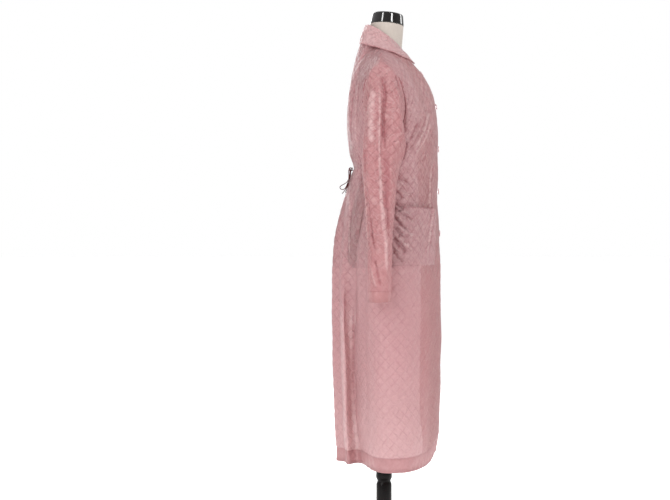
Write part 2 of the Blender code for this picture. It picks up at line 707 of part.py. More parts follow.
def build_pocket(name, side, points, normals):
    """A patch pocket made from the front's own points, moved out, its mouth gaping in front."""
    (first, last), (low, high) = POCKET_COLUMNS, POCKET_ROWS
    base = points[low : high + 1, first : last + 1]
    out = normals[low : high + 1, first : last + 1]
    rows, columns = base.shape[:2]
    up = np.linspace(0.0, 1.0, rows)[:, None]
    across = np.linspace(0.0, 1.0, columns)[None, :]
    gape = POCKET_GAPE * smooth(up, 0.6, 1.0) * np.sin(math.pi * np.clip(across, 0, 1)) ** 0.7
    lift = RELIEF + GAP + gape
    inner = base + out * lift[..., None]
    outer = quilted(inner + out * WALL, out, RELIEF)
    wall(name, placed(outer, side), placed(inner, side), QUILTED_CLOTH)


def build_buttons(points, normals):
    """A button on the right front at each height, on the line down its middle."""
    heights = points[:, 0, 2]
    for number, height in enumerate((TOP_BUTTON_HEIGHT, *BUTTON_HEIGHTS), start=1):
        k = int(np.argmin(np.abs(heights - height)))
        k = min(max(k, 1), len(points) - 2)
        near, far = points[k, 0], points[k, 1]
        share = 0.0 if abs(far[0] - near[0]) < 1e-9 else -near[0] / (far[0] - near[0])
        foot = near + (far - near) * share
        out = unit(normals[k, 0] + normals[k, 1])
        foot = foot + (height - foot[2]) * unit(points[k + 1, 0] - points[k - 1, 0])
        across = np.array([1.0, 0.0, 0.0])
        across = unit(across - out * float(np.dot(across, out)))
        upward = np.cross(out, across)
        profile = ((0.0075, 0.0), (BUTTON_RADIUS, 0.0007), (BUTTON_RADIUS, 0.0022), (0.0072, 0.0029))
        vertices = []
        for radius, rise in profile:
            for i in range(BUTTON_SIDES):
                angle = 2.0 * math.pi * i / BUTTON_SIDES
                vertices.append(
                    foot
                    + out * (RELIEF + GAP + rise)
                    + across * radius * math.cos(angle)
                    + upward * radius * math.sin(angle)
                )
        faces = []
        for j in range(len(profile) - 1):
            for i in range(BUTTON_SIDES):
                m = (i + 1) % BUTTON_SIDES
                low, high = j * BUTTON_SIDES, (j + 1) * BUTTON_SIDES
                faces.append((low + i, low + m, high + m, high + i))
        faces.append(tuple(reversed(range(BUTTON_SIDES))))
        last = (len(profile) - 1) * BUTTON_SIDES
        faces.append(tuple(range(last, last + BUTTON_SIDES)))
        vertices = placed(np.array(vertices), -1)
        add_object(f"button_{number}", vertices, faces, BUTTON_PLASTIC)


def build_form():
    """The dress form: jersey torso and neck, black neck cap, turned pole and round base."""
    sides = FORM_SIDES
    angles = 2.0 * math.pi * np.arange(sides) / sides
    heights = []
    for low, high in zip(FORM_SECTIONS, FORM_SECTIONS[1:]):
        heights.append(low[0])
        if high[0] - low[0] > 0.075:
            heights.append((low[0] + high[0]) / 2)
    heights.append(FORM_SECTIONS[-1][0])
    vertices, faces = [], []
    for height in heights:
        row = table_at(FORM_COLUMNS, FORM_SECTIONS, height)
        middle = (row["front_y"] + row["back_y"]) / 2
        half_depth = (row["back_y"] - row["front_y"]) / 2
        for angle in angles:
            x = row["half_width"] * math.cos(angle)
            y = middle + half_depth * math.sin(angle)
            vertices.append((x, y, height + y * row["slope"]))
    for j in range(len(heights) - 1):
        for i in range(sides):
            k = (i + 1) % sides
            faces.append((j * sides + i, j * sides + k, (j + 1) * sides + k, (j + 1) * sides + i))
    faces.append(tuple(reversed(range(sides))))
    last = (len(heights) - 1) * sides
    faces.append(tuple(range(last, last + sides)))
    add_object("form_torso", vertices, faces, FORM_JERSEY)


def build_stand():
    """The gloss cap on the form's sloping neck, the turned pole under it and the round base."""
    neck = dict(zip(FORM_COLUMNS, FORM_SECTIONS[-1]))
    middle = (neck["front_y"] + neck["back_y"]) / 2
    seat = neck["height"] + neck["slope"] * middle + GAP
    cap = (
        (0.0470, 0.0000), (0.0488, 0.0016), (0.0480, 0.0080), (0.0454, 0.0260),
        (0.0446, 0.0296), (0.0425, 0.0318), (0.0250, 0.0335),
    )
    cap = [(radius, seat + rise) for radius, rise in cap]
    tilt = math.atan(neck["slope"])
    turned("form_neck_cap", cap, CAP_SIDES, BLACK_GLOSS, (0.0, middle), tilt, seat)
    pole = (
        (0.0240, BASE_HEIGHT + GAP), (0.0240, 0.0500), (0.0200, 0.0620), (0.0225, 0.0800),
        (0.0225, 0.1480), (0.0195, 0.1560), (0.0195, 0.1600), (0.0235, 0.1700),
        (0.0225, 0.1850), (0.0205, 0.2000), (0.0205, FORM_SECTIONS[0][0] - GAP),
    )
    turned("form_pole", pole, POLE_SIDES, BLACK_WOOD)
    rim = BASE_RADIUS - 0.0040
    base = (
        (rim, 0.0000), (BASE_RADIUS, 0.0040), (BASE_RADIUS, 0.0160), (rim, 0.0200),
        (0.0600, 0.0240), (0.0420, 0.0280), (0.0400, BASE_HEIGHT),
    )
    turned("form_base", base, BASE_SIDES, BLACK_WOOD)


RIGHT_TIE_ROUTE = (  # slot, knot, loop on the other side, knot again, free end; x outward
    (0.0240, 0.0900, 1.0620),
    (0.0160, 0.0917, 1.0622),
    (0.0080, 0.0940, 1.0616),
    (0.0000, 0.0952, 1.0614),
    (-0.0070, 0.0958, 1.0614),
    (-0.0125, 0.0968, 1.0560),
    (-0.0160, 0.0972, 1.0450),
    (-0.0185, 0.1000, 1.0300),
    (-0.0205, 0.1045, 1.0150),
    (-0.0220, 0.1085, 1.0020),
    (-0.0235, 0.1100, 0.9960),
    (-0.0262, 0.1090, 0.9990),
    (-0.0272, 0.1050, 1.0120),
    (-0.0265, 0.1010, 1.0300),
    (-0.0235, 0.0987, 1.0450),
    (-0.0180, 0.0987, 1.0540),
    (-0.0120, 0.0995, 1.0580),
    (-0.0060, 0.0983, 1.0586),
    (0.0000, 0.0980, 1.0586),
    (0.0055, 0.0985, 1.0580),
    (0.0085, 0.0990, 1.0520),
    (0.0090, 0.1000, 1.0400),
    (0.0085, 0.1030, 1.0240),
    (0.0080, 0.1080, 1.0090),
    (0.0080, 0.1140, 0.9975),
    (0.0090, 0.1210, 0.9890),
)
LEFT_TIE_ROUTE = (
    (0.0240, 0.0900, 1.0580),
    (0.0160, 0.0917, 1.0582),
    (0.0080, 0.0940, 1.0584),
    (0.0000, 0.0952, 1.0586),
    (-0.0070, 0.0955, 1.0580),
    (-0.0110, 0.0965, 1.0520),
    (-0.0135, 0.0985, 1.0430),
    (-0.0150, 0.1020, 1.0310),
    (-0.0165, 0.1080, 1.0210),
    (-0.0185, 0.1170, 1.0150),
    (-0.0205, 0.1250, 1.0105),
    (-0.0225, 0.1275, 1.0055),
    (-0.0240, 0.1235, 1.0010),
    (-0.0250, 0.1165, 1.0000),
    (-0.0258, 0.1100, 1.0060),
    (-0.0248, 0.1050, 1.0180),
    (-0.0225, 0.1010, 1.0330),
    (-0.0195, 0.0987, 1.0470),
    (-0.0150, 0.0985, 1.0570),
    (-0.0100, 0.0985, 1.0612),
    (-0.0050, 0.0981, 1.0614),
    (0.0000, 0.0980, 1.0614),
    (0.0060, 0.0997, 1.0622),
    (0.0100, 0.1022, 1.0600),
    (0.0118, 0.1030, 1.0520),
    (0.0125, 0.1025, 1.0400),
    (0.0125, 0.1040, 1.0240),
    (0.0120, 0.1072, 1.0080),
    (0.0125, 0.1120, 0.9940),
)


def build_tie():
    """Both ends of the tie, each a free cord, and the small ring of the knot round them."""
    ends = (("tie_right", -1, RIGHT_TIE_ROUTE), ("tie_left", +1, LEFT_TIE_ROUTE))
    for name, side, route in ends:
        dense = catmull(route, np.linspace(0.0, len(route) - 1.0, 20 * len(route)))
        count = int(arc_lengths(dense)[-1] / (6 * TIE_RADIUS))
        points = placed(spread(dense, count), side)
        curve = bpy.data.curves.new(name, "CURVE")
        curve.dimensions = "3D"
        curve.bevel_depth = TIE_RADIUS
        curve.bevel_resolution = 2
        curve.use_fill_caps = True
        line = curve.splines.new("POLY")
        line.points.add(len(points) - 1)
        for point, place in zip(line.points, points):
            point.co = (*place, 1.0)
        curve.materials.append(TIE_CLOTH)
        bpy.context.collection.objects.link(bpy.data.objects.new(name, curve))
    ring, tube = 12, 6
    vertices, faces = [], []
    for i in range(ring):
        turn = 2.0 * math.pi * i / ring
        out = np.array([0.0, math.cos(turn), math.sin(turn)])
        for j in range(tube):
            angle = 2.0 * math.pi * j / tube
            along = np.array([math.sin(angle), 0.0, 0.0]) * 1.6
            middle = np.array(KNOT_CENTRE) + out * KNOT_RADIUS
            vertices.append(middle + (out * math.cos(angle) + along) * TIE_RADIUS)
    for i in range(ring):
        for j in range(tube):
            n, m = (i + 1) % ring, (j + 1) % tube
            faces.append((i * tube + j, n * tube + j, n * tube + m, i * tube + m))
    add_object("tie_knot", vertices, faces, TIE_CLOTH)


build_form()
build_stand()
build_tie()
right_points, right_normals = build_front("front_right", -1)
left_points, left_normals = build_front("front_left", +1)
build_back()
build_hem("hem_right", "front", -1)
build_hem("hem_left", "front", +1)
build_hem("hem_back", "back", -1)
build_sleeve("sleeve_right", -1)
build_sleeve("sleeve_left", +1)
build_collar()
build_pocket("pocket_right", -1, right_points, right_normals)
build_pocket("pocket_left", +1, left_points, left_normals)
build_buttons(right_points, right_normals)
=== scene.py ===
# %% [markdown]
# # A quilted coat on a dress form
#
# The real coat is thin satin nylon, stitched in diamonds through a light filling, and worn by a
# dress form on a turned pole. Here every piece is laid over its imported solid: the solids keep
# the sizes and places, and this file gives them fine cloth, creases, stitches and finishes.

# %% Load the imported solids
import math

import bpy
import numpy as np
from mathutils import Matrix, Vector
from mathutils.bvhtree import BVHTree


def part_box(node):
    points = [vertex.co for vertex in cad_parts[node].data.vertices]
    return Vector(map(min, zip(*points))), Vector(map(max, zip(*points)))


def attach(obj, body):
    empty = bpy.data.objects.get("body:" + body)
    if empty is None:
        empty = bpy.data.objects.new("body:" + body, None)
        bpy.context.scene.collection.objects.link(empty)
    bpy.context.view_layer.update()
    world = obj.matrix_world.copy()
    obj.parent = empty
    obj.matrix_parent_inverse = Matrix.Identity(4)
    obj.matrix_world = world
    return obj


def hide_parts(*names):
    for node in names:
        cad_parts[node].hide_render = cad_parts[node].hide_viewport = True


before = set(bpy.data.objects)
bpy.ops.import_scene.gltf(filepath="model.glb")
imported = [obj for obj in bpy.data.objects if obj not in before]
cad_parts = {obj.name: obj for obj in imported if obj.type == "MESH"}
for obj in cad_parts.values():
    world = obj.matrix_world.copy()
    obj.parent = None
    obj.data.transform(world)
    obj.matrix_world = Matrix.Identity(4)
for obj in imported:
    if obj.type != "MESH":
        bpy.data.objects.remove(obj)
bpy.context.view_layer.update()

# %% [markdown]
# ## The camera
#
# The picture was taken level from the wearer's right side, from some metres away. A pixel of it
# spans a known length in the plane through the pole, and that length and the distance give the
# lens. The coat stands right of the middle of the picture, so the lens is shifted sideways
# rather than turned, which keeps the pole's edges parallel.

# %% Camera
IMAGE_WIDTH = 670
PIXEL_SIZE = 0.0029  # metres a pixel spans at the pole
POLE_COLUMN = 384  # column of pixels on which the pole's axis falls
CAMERA_DISTANCE = 3.2
CAMERA_HEIGHT = 0.826
SENSOR_WIDTH = 36.0

camera_data = bpy.data.cameras.new("camera")
camera_data.sensor_width = SENSOR_WIDTH
camera_data.lens = SENSOR_WIDTH * CAMERA_DISTANCE / (IMAGE_WIDTH * PIXEL_SIZE)
camera_data.shift_x = -(POLE_COLUMN - IMAGE_WIDTH / 2) / IMAGE_WIDTH
camera = bpy.data.objects.new("camera", camera_data)
bpy.context.collection.objects.link(camera)
camera.location = (-CAMERA_DISTANCE, 0.0, CAMERA_HEIGHT)
camera.rotation_euler = (math.radians(90), 0.0, math.radians(-90))
bpy.context.scene.camera = camera
print("lens:", round(camera_data.lens, 1), "mm, shift:", round(camera_data.shift_x, 3))

# %% [markdown]
# ## Smooth curves through a few points
#
# A pattern cutter draws a neckline through three or four marks. The same is done here: every
# line of the coat is a short table of points, and one small function draws the smooth curve
# through them. A Catmull-Rom curve is used because it passes through its points, which a Bezier
# curve's handles don't.

# %% Curves through points
def eased(value, low, high):
    """0 below low and 1 above high, eased between them; low may be the larger."""
    share = np.clip((np.asarray(value, dtype=float) - low) / (high - low), 0.0, 1.0)
    return share * share * (3.0 - 2.0 * share)


def bell(distance, width):
    """1 where the distance is 0, falling off smoothly to either side."""
    return np.exp(-((distance / width) ** 2))


def unit(vectors):
    return vectors / np.maximum(np.linalg.norm(vectors, axis=-1, keepdims=True), 1e-12)


def curve_at(points, where, loop=False):
    """Points on the smooth curve through points, at station numbers where."""
    points = np.array(points, dtype=float)
    where = np.asarray(where, dtype=float)
    k = np.floor(where).astype(int)
    if not loop:
        k = np.clip(k, 0, len(points) - 2)
    t = (where - k)[:, None]
    steps = (-1, 0, 1, 2)
    if loop:
        p0, p1, p2, p3 = (points[(k + step) % len(points)] for step in steps)
    else:
        p0, p1, p2, p3 = (points[np.clip(k + step, 0, len(points) - 1)] for step in steps)
    bend = (2 * p0 - 5 * p1 + 4 * p2 - p3) * t**2 + (3 * p1 - p0 - 3 * p2 + p3) * t**3
    return 0.5 * (2 * p1 + (p2 - p0) * t + bend)


def lengths_along(points):
    """Distance along a line of points, from its first point."""
    steps = np.linalg.norm(np.diff(points, axis=0), axis=1)
    return np.concatenate([[0.0], np.cumsum(steps)])


def at_lengths(even, reach, points):
    """Points at given distances along a line, where reach is the distance of each point of it."""
    return np.stack([np.interp(even, reach, points[:, axis]) for axis in range(3)], axis=1)


def spaced(points, count):
    """count + 1 points spaced evenly along a line of points."""
    reach = lengths_along(points)
    return at_lengths(np.linspace(0.0, reach[-1], count + 1), reach, points)


def drawn(stations, count):
    """count + 1 evenly spaced points on the smooth curve through a table of points."""
    dense = curve_at(stations, np.linspace(0.0, len(stations) - 1.0, 30 * len(stations)))
    return spaced(dense, count)


def read(columns, rows, key):
    """A table's row by column name, read as a smooth curve at one value of its first column."""
    data = np.array(rows, dtype=float)
    keys = data[:, 0]
    slopes = np.gradient(data, keys, axis=0)
    key = min(max(key, keys[0]), keys[-1])
    k = min(max(int(np.searchsorted(keys, key)) - 1, 0), len(keys) - 2)
    span = keys[k + 1] - keys[k]
    t = (key - keys[k]) / span
    first = (1 + 2 * t) * (1 - t) ** 2 * data[k] + t * (1 - t) ** 2 * span * slopes[k]
    second = t * t * (3 - 2 * t) * data[k + 1] + t * t * (t - 1) * span * slopes[k + 1]
    return dict(zip(columns, first + second))


def named_rows(columns, rows):
    """The rows of a table one by one, each by column name."""
    return (dict(zip(columns, values)) for values in rows)


def on_side(points, side):
    """Points with x outward, put on the wearer's right (side -1) or left (+1)."""
    return points * np.array([side, 1.0, 1.0])


print("curve check:", curve_at([(0, 0), (1, 1), (2, 0)], [0.5, 1.5]).round(3).tolist())

# %% [markdown]
# ## The tie at the back of the waist
#
# The waist is drawn in by a thin rouleau, a tube of the coat's own cloth turned right side out.
# Its two ends leave small slots either side of the middle of the back, cross, and are tied in a
# bow whose loops and ends hang down. A curve with a round bevel would do; here a ring of points
# is carried along the route instead, so the tube is a mesh like the cloth it is sewn from, and
# the bow is still planned point by point.

# %% Tie
TIE_RADIUS = 0.0011
TIE_TURNS = np.linspace(0.0, 2.0 * math.pi, 12, endpoint=False)
TIE_ROUND = [(math.cos(turn), math.sin(turn)) for turn in TIE_TURNS]
RIGHT_TIE_ROUTE = (  # slot, knot, loop on the other side, knot again, free end; x outward
    (0.0240, 0.0900, 1.0620),
    (0.0160, 0.0917, 1.0622),
    (0.0080, 0.0940, 1.0616),
    (0.0000, 0.0952, 1.0614),
    (-0.0070, 0.0958, 1.0614),
    (-0.0125, 0.0968, 1.0560),
    (-0.0160, 0.0972, 1.0450),
    (-0.0185, 0.1000, 1.0300),
    (-0.0195, 0.1045, 1.0150),
    (-0.0192, 0.1092, 1.0030),
    (-0.0206, 0.1119, 0.9960),
    (-0.0250, 0.1119, 0.9930),
    (-0.0294, 0.1087, 0.9965),
    (-0.0300, 0.1047, 1.0085),
    (-0.0272, 0.1010, 1.0290),
    (-0.0235, 0.0987, 1.0450),
    (-0.0180, 0.0987, 1.0540),
    (-0.0120, 0.0995, 1.0580),
    (-0.0060, 0.0983, 1.0586),
    (0.0000, 0.0980, 1.0586),
    (0.0055, 0.0985, 1.0580),
    (0.0085, 0.0990, 1.0520),
    (0.0090, 0.1000, 1.0400),
    (0.0085, 0.1030, 1.0240),
    (0.0080, 0.1080, 1.0090),
    (0.0080, 0.1140, 0.9975),
    (0.0090, 0.1210, 0.9890),
)
LEFT_TIE_ROUTE = (
    (0.0240, 0.0900, 1.0580),
    (0.0160, 0.0917, 1.0582),
    (0.0080, 0.0940, 1.0584),
    (0.0000, 0.0952, 1.0586),
    (-0.0070, 0.0955, 1.0580),
    (-0.0110, 0.0965, 1.0520),
    (-0.0135, 0.0985, 1.0430),
    (-0.0150, 0.1020, 1.0310),
    (-0.0165, 0.1080, 1.0210),
    (-0.0185, 0.1170, 1.0150),
    (-0.0205, 0.1250, 1.0105),
    (-0.0225, 0.1275, 1.0055),
    (-0.0240, 0.1235, 1.0010),
    (-0.0250, 0.1165, 1.0000),
    (-0.0258, 0.1100, 1.0060),
    (-0.0248, 0.1050, 1.0180),
    (-0.0225, 0.1010, 1.0330),
    (-0.0195, 0.0987, 1.0470),
    (-0.0150, 0.0985, 1.0570),
    (-0.0100, 0.0985, 1.0612),
    (-0.0050, 0.0981, 1.0614),
    (0.0000, 0.0980, 1.0614),
    (0.0060, 0.0997, 1.0622),
    (0.0100, 0.1022, 1.0600),
    (0.0118, 0.1030, 1.0520),
    (0.0125, 0.1025, 1.0400),
    (0.0125, 0.1040, 1.0240),
    (0.0120, 0.1072, 1.0080),
    (0.0125, 0.1120, 0.9940),
)


def ring_faces(rings, sides, capped=False):
    """Quads from each ring of points to the next, and a flat face at either end if capped."""
    faces = []
    for j in range(rings - 1):
        for i in range(sides):
            k = (i + 1) % sides
            faces.append((j * sides + i, j * sides + k, (j + 1) * sides + k, (j + 1) * sides + i))
    if capped:
        last = (rings - 1) * sides
        faces += [tuple(reversed(range(sides))), tuple(range(last, last + sides))]
    return faces


def placed_mesh(name, points, faces):
    """A smooth mesh as an object that belongs to the one body of the part."""
    mesh = bpy.data.meshes.new(name)
    mesh.from_pydata(points, [], faces)
    mesh.shade_smooth()
    piece = bpy.data.objects.new(name, mesh)
    bpy.context.collection.objects.link(piece)
    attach(piece, "root")
    return piece


def lay_tie(name, side, route):
    """One end of the tie as a round cord along its route."""
    dense = curve_at(route, np.linspace(0.0, len(route) - 1.0, 20 * len(route)))
    dense = spaced(dense, 500)
    for _ in range(30):  # eases the turns, so that none is tighter than a soft tube can make
        dense[1:-1] = (dense[:-2] + dense[1:-1] + dense[2:]) / 3
    length = float(lengths_along(dense)[-1])
    points = on_side(spaced(dense, int(length / 0.0010)), side)
    along = unit(np.gradient(points, axis=0))
    sideways = unit(np.cross(along[0], (0.0, 0.0, 1.0)))
    skin = []
    for way, place in zip(along, points):
        sideways = unit(sideways - way * np.dot(sideways, way))  # carried on without twisting
        spokes = [c * sideways + s * np.cross(way, sideways) for c, s in TIE_ROUND]
        skin += [(place + TIE_RADIUS * spoke).tolist() for spoke in spokes]
    piece = placed_mesh(name, skin, ring_faces(len(points), len(TIE_ROUND), capped=True))
    tuple(points[0])
    print(name, "is", round(length, 3), "m long")
    return piece


tie_right = lay_tie("tie_end_right", -1, RIGHT_TIE_ROUTE)
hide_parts("tie_right")
tie_left = lay_tie("tie_end_left", +1, LEFT_TIE_ROUTE)
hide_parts("tie_left")

# %% [markdown]
# ## The plan of the coat, height by height
#
# The body of the coat is a tube whose plan changes with height: round the bust, drawn in at the
# back of the waist, and full in the skirt, where the side seams swing back into two deep folds.
# Each row of the table is one plan: the y of the middle front, then pairs of x and y on the way
# round to the middle back, and the station where the side seam lies.

# %% Plans of the body
SECTION_COLUMNS = (
    "height", "front_y", "quarter_x", "quarter_y", "side_x", "side_y", "rear_x", "rear_y",
    "valley_x", "valley_y", "tail_x", "tail_y", "back_y", "seam",
)
BODY_SECTIONS = (
    (0.220, -0.1500, 0.100, -0.121, 0.198, -0.055, 0.188, 0.018, 0.062, 0.066, 0.074, 0.103, 0.1325, 4.00),
    (0.300, -0.1580, 0.100, -0.126, 0.200, -0.056, 0.192, 0.020, 0.064, 0.075, 0.076, 0.109, 0.1360, 4.00),
    (0.460, -0.1635, 0.104, -0.127, 0.203, -0.057, 0.196, 0.024, 0.072, 0.082, 0.080, 0.114, 0.1420, 4.00),
    (0.640, -0.1645, 0.112, -0.126, 0.205, -0.057, 0.200, 0.026, 0.088, 0.086, 0.085, 0.118, 0.1455, 4.00),
    (0.780, -0.1615, 0.120, -0.122, 0.205, -0.056, 0.203, 0.026, 0.115, 0.086, 0.080, 0.121, 0.1440, 3.95),
    (0.870, -0.1595, 0.122, -0.120, 0.203, -0.055, 0.203, 0.024, 0.135, 0.083, 0.075, 0.114, 0.1365, 3.85),
    (0.960, -0.1560, 0.122, -0.116, 0.200, -0.054, 0.200, 0.020, 0.140, 0.072, 0.075, 0.100, 0.1180, 3.65),
    (1.030, -0.1555, 0.120, -0.114, 0.196, -0.052, 0.196, 0.018, 0.140, 0.058, 0.075, 0.082, 0.0960, 3.40),
    (1.068, -0.1553, 0.120, -0.114, 0.195, -0.052, 0.195, 0.016, 0.138, 0.054, 0.072, 0.075, 0.0870, 3.20),
    (1.100, -0.1550, 0.120, -0.114, 0.197, -0.052, 0.197, 0.015, 0.145, 0.058, 0.078, 0.083, 0.0960, 3.00),
)
FOLD_COLUMNS = ("station", "half_width", "depth", "top", "bottom")
BODY_FOLDS = (
    (5.45, 0.018, -0.010, 1.045, 0.210),
    (5.80, 0.014, 0.006, 1.050, 0.210),
    (4.55, 0.016, -0.006, 1.045, 0.500),
    (3.45, 0.020, -0.007, 0.900, 0.260),
    (2.20, 0.026, -0.005, 0.700, 0.210),
)
HEM_HEIGHT = 0.220
HEM_BAND = 0.038
ARMPIT_HEIGHT = 1.100
EDGE_LAP = 0.020  # each front runs on past the middle by this much
CORNER_RISE = 0.085
CORNER_LENGTH = 0.150
CORNER_FADE = 0.260


def plan_at(height, low, high):
    """Points and outward normals of the coat's plan at a height, between two stations."""
    row = read(SECTION_COLUMNS, BODY_SECTIONS, height)
    pairs = ("quarter", "side", "rear", "valley", "tail")
    half = [(0.0, row["front_y"])]
    half += [(row[f"{name}_x"], row[f"{name}_y"]) for name in pairs]
    half += [(0.0, row["back_y"])]
    stations = half + [(-x, y) for x, y in half[-2:0:-1]]
    where = np.linspace(low, high, int((high - low) * 60) + 2)
    flat = curve_at(stations, where, loop=True)
    along = np.gradient(flat, axis=0)
    normal = unit(np.stack([along[:, 1], -along[:, 0]], axis=1))
    reach = lengths_along(flat)
    for fold in named_rows(FOLD_COLUMNS, BODY_FOLDS):
        top, bottom = fold["top"], fold["bottom"]
        length = (top - bottom) / 4
        share = eased(height, top, top - length)
        if bottom > HEM_HEIGHT:
            share = share * eased(height, bottom, bottom + length)
        for centre in (fold["station"], 12.0 - fold["station"]):
            if low - 1.0 < centre < high + 1.0:
                middle = np.interp(centre, where, reach)
                bump = bell(reach - middle, fold["half_width"])
                flat = flat + normal * (fold["depth"] * share * bump)[:, None]
    level = np.full(len(flat), height)
    return where, np.column_stack([flat, level]), np.column_stack([normal, 0 * level])


def level_row(height, part, columns):
    """One level row of the front or back, its outward normals, and how far each point is round."""
    seam = read(SECTION_COLUMNS, BODY_SECTIONS, height)["seam"]
    if part == "front":
        where, points, normals = plan_at(height, -0.5, seam)
        reach = lengths_along(points)
        start = np.interp(0.0, where, reach) - EDGE_LAP
    else:
        where, points, normals = plan_at(height, seam, 12.0 - seam)
        reach = lengths_along(points)
        start = 0.0
    even = np.linspace(start, reach[-1], columns + 1)
    out = unit(at_lengths(even, reach, normals))
    return at_lengths(even, reach, points), out, even - start


print("girth at the hem:", round(lengths_along(plan_at(HEM_HEIGHT, 0.0, 12.0)[1])[-1], 3), "m")

# %% [markdown]
# ## The skirt and the yoke as grids
#
# Each panel is a grid: columns round the body, rows up it. Below the armpit a row is a level
# plan; at the front's lower corner the rows rise in a curve to the edge. Above the armpit every
# column is a Bezier curve that leaves the skirt and arrives at the neckline or the shoulder
# seam, so the chest, bust and shoulder blades come from a few handles.

# %% Grids of the body panels
NECKLINE_FRONT = (
    (0.000, -0.0800, 1.3620), (0.010, -0.0790, 1.3627), (0.026, -0.0715, 1.3675),
    (0.048, -0.0510, 1.3795), (0.062, -0.0280, 1.3930), (0.068, -0.0040, 1.4080),
)
SHOULDER_SEAM = (
    (0.068, -0.0040, 1.4080), (0.100, 0.0000, 1.3880), (0.150, 0.0060, 1.3700), (0.200, 0.0110, 1.3500),
)
NECKLINE_BACK = (
    (0.068, -0.0040, 1.4080), (0.066, 0.0200, 1.4220), (0.050, 0.0430, 1.4330),
    (0.026, 0.0560, 1.4380), (0.000, 0.0600, 1.4400),
)
HANDLE_COLUMNS = ("across", "low_y", "low_z", "high_x", "high_y", "high_z")
FRONT_HANDLES = (
    (0.00, -0.004, 0.075, 0.000, -0.089, -0.071),
    (0.08, -0.002, 0.074, 0.000, -0.087, -0.072),
    (0.16, -0.004, 0.075, 0.000, -0.089, -0.071),
    (0.29, -0.010, 0.080, 0.004, -0.098, -0.064),
    (0.57, -0.016, 0.090, 0.008, -0.118, -0.043),
    (0.79, -0.034, 0.090, 0.002, -0.102, -0.045),
    (1.00, -0.092, 0.070, 0.000, -0.072, -0.070),
)
BACK_HANDLES = (
    (0.00, 0.075, 0.066, 0.000, 0.058, -0.070),
    (0.36, 0.010, 0.100, 0.000, 0.092, -0.030),
    (0.67, 0.004, 0.096, 0.004, 0.112, -0.026),
    (0.84, -0.003, 0.090, 0.004, 0.050, -0.072),
    (1.00, -0.003, 0.085, 0.000, 0.033, -0.062),
)
FRONT_COLUMNS = 168
NECK_COLUMN = 96  # where the neckline meets the shoulder seam
BACK_COLUMNS = 216
BACK_NECK_COLUMN = 72
SKIRT_ROWS = 240
BAND_ROWS = 12
YOKE_ROWS = 84
LEVELS = 180  # level plans worked out, between which the rows are read
SLOPE_STEP = 0.01  # height over which the skirt's slope at the armpit is taken


def skirt_grid(part, columns, heights):
    """Rows of the skirt at table heights; the front's rows rise over its rounded corner."""
    levels = np.linspace(HEM_HEIGHT, ARMPIT_HEIGHT, LEVELS)
    rows = [level_row(level, part, columns) for level in levels]
    points = np.array([row for row, _, _ in rows])
    normals = np.array([out for _, out, _ in rows])
    reach = np.array([far for _, _, far in rows])
    grid = np.zeros((len(heights), columns + 1, 3))
    turned = np.zeros_like(grid)
    fade = 1 - eased(heights, HEM_HEIGHT, HEM_HEIGHT + CORNER_FADE)
    for i in range(columns + 1):
        wanted = np.array(heights, dtype=float)
        if part == "front":
            away = np.interp(wanted, levels, reach[:, i])
            wanted += fade * CORNER_RISE * np.maximum(0.0, 1 - away / CORNER_LENGTH) ** 2
        for axis in range(3):
            grid[:, i, axis] = np.interp(wanted, levels, points[:, i, axis])
            turned[:, i, axis] = np.interp(wanted, levels, normals[:, i, axis])
    return grid, unit(turned)


def top_edge(part):
    """A panel's upper edge: neckline and shoulder seams."""
    neck_front = curve_at(NECKLINE_FRONT, np.linspace(0.0, len(NECKLINE_FRONT) - 1.0, 60))
    if part == "front":
        over = np.linspace(EDGE_LAP, 0.0, 9)[:-1]
        lap = at_lengths(over, neck_front[:, 0], neck_front)
        near = spaced(np.vstack([on_side(lap, -1), neck_front]), NECK_COLUMN)
        return np.vstack([near, drawn(SHOULDER_SEAM, FRONT_COLUMNS - NECK_COLUMN)[1:]])
    shoulder = drawn(SHOULDER_SEAM, BACK_NECK_COLUMN)[::-1]
    half = np.vstack([shoulder, drawn(NECKLINE_BACK, BACK_COLUMNS // 2 - BACK_NECK_COLUMN)[1:]])
    return np.vstack([half, on_side(half[-2::-1], -1)])


def yoke_grid(part, columns, foot, below):
    """Rows above the armpit, up to the neckline or the shoulder seam."""
    slope = (foot - below) / SLOPE_STEP
    top = top_edge(part)
    grid = np.zeros((YOKE_ROWS + 1, columns + 1, 3))
    t = np.linspace(0.0, 1.0, 80)[:, None]
    for i in range(columns + 1):
        share = i / columns
        if part == "front":
            handle, side = read(HANDLE_COLUMNS, FRONT_HANDLES, share), 1.0
        else:
            handle = read(HANDLE_COLUMNS, BACK_HANDLES, 1.0 - abs(2.0 * share - 1.0))
            side = -1.0 if share > 0.5 else 1.0
        low = foot[i] + slope[i] * handle["low_z"] + np.array([0.0, handle["low_y"], 0.0])
        high = top[i] + np.array([side * handle["high_x"], handle["high_y"], handle["high_z"]])
        line = (1 - t) ** 3 * foot[i] + 3 * (1 - t) ** 2 * t * low
        line = line + 3 * (1 - t) * t**2 * high + t**3 * top[i]
        grid[:, i] = spaced(line, YOKE_ROWS)
    return grid


def normals_of(grid):
    """Unit normals of a grid of points; their sense follows its rows and columns."""
    return unit(np.cross(np.gradient(grid, axis=1), np.gradient(grid, axis=0)))


def body_panel(part):
    """A whole panel from the hem band's top to its upper edge, and its outward normals."""
    columns = FRONT_COLUMNS if part == "front" else BACK_COLUMNS
    heights = np.linspace(HEM_HEIGHT + HEM_BAND, ARMPIT_HEIGHT, SKIRT_ROWS + 1)
    skirt, skirt_out = skirt_grid(part, columns, heights)
    below, _ = skirt_grid(part, columns, [ARMPIT_HEIGHT - SLOPE_STEP])
    yoke = yoke_grid(part, columns, skirt[-1], below[0])
    points = np.concatenate([skirt, yoke[1:]])
    normals = np.concatenate([skirt_out, normals_of(yoke)[1:]])
    return points, normals


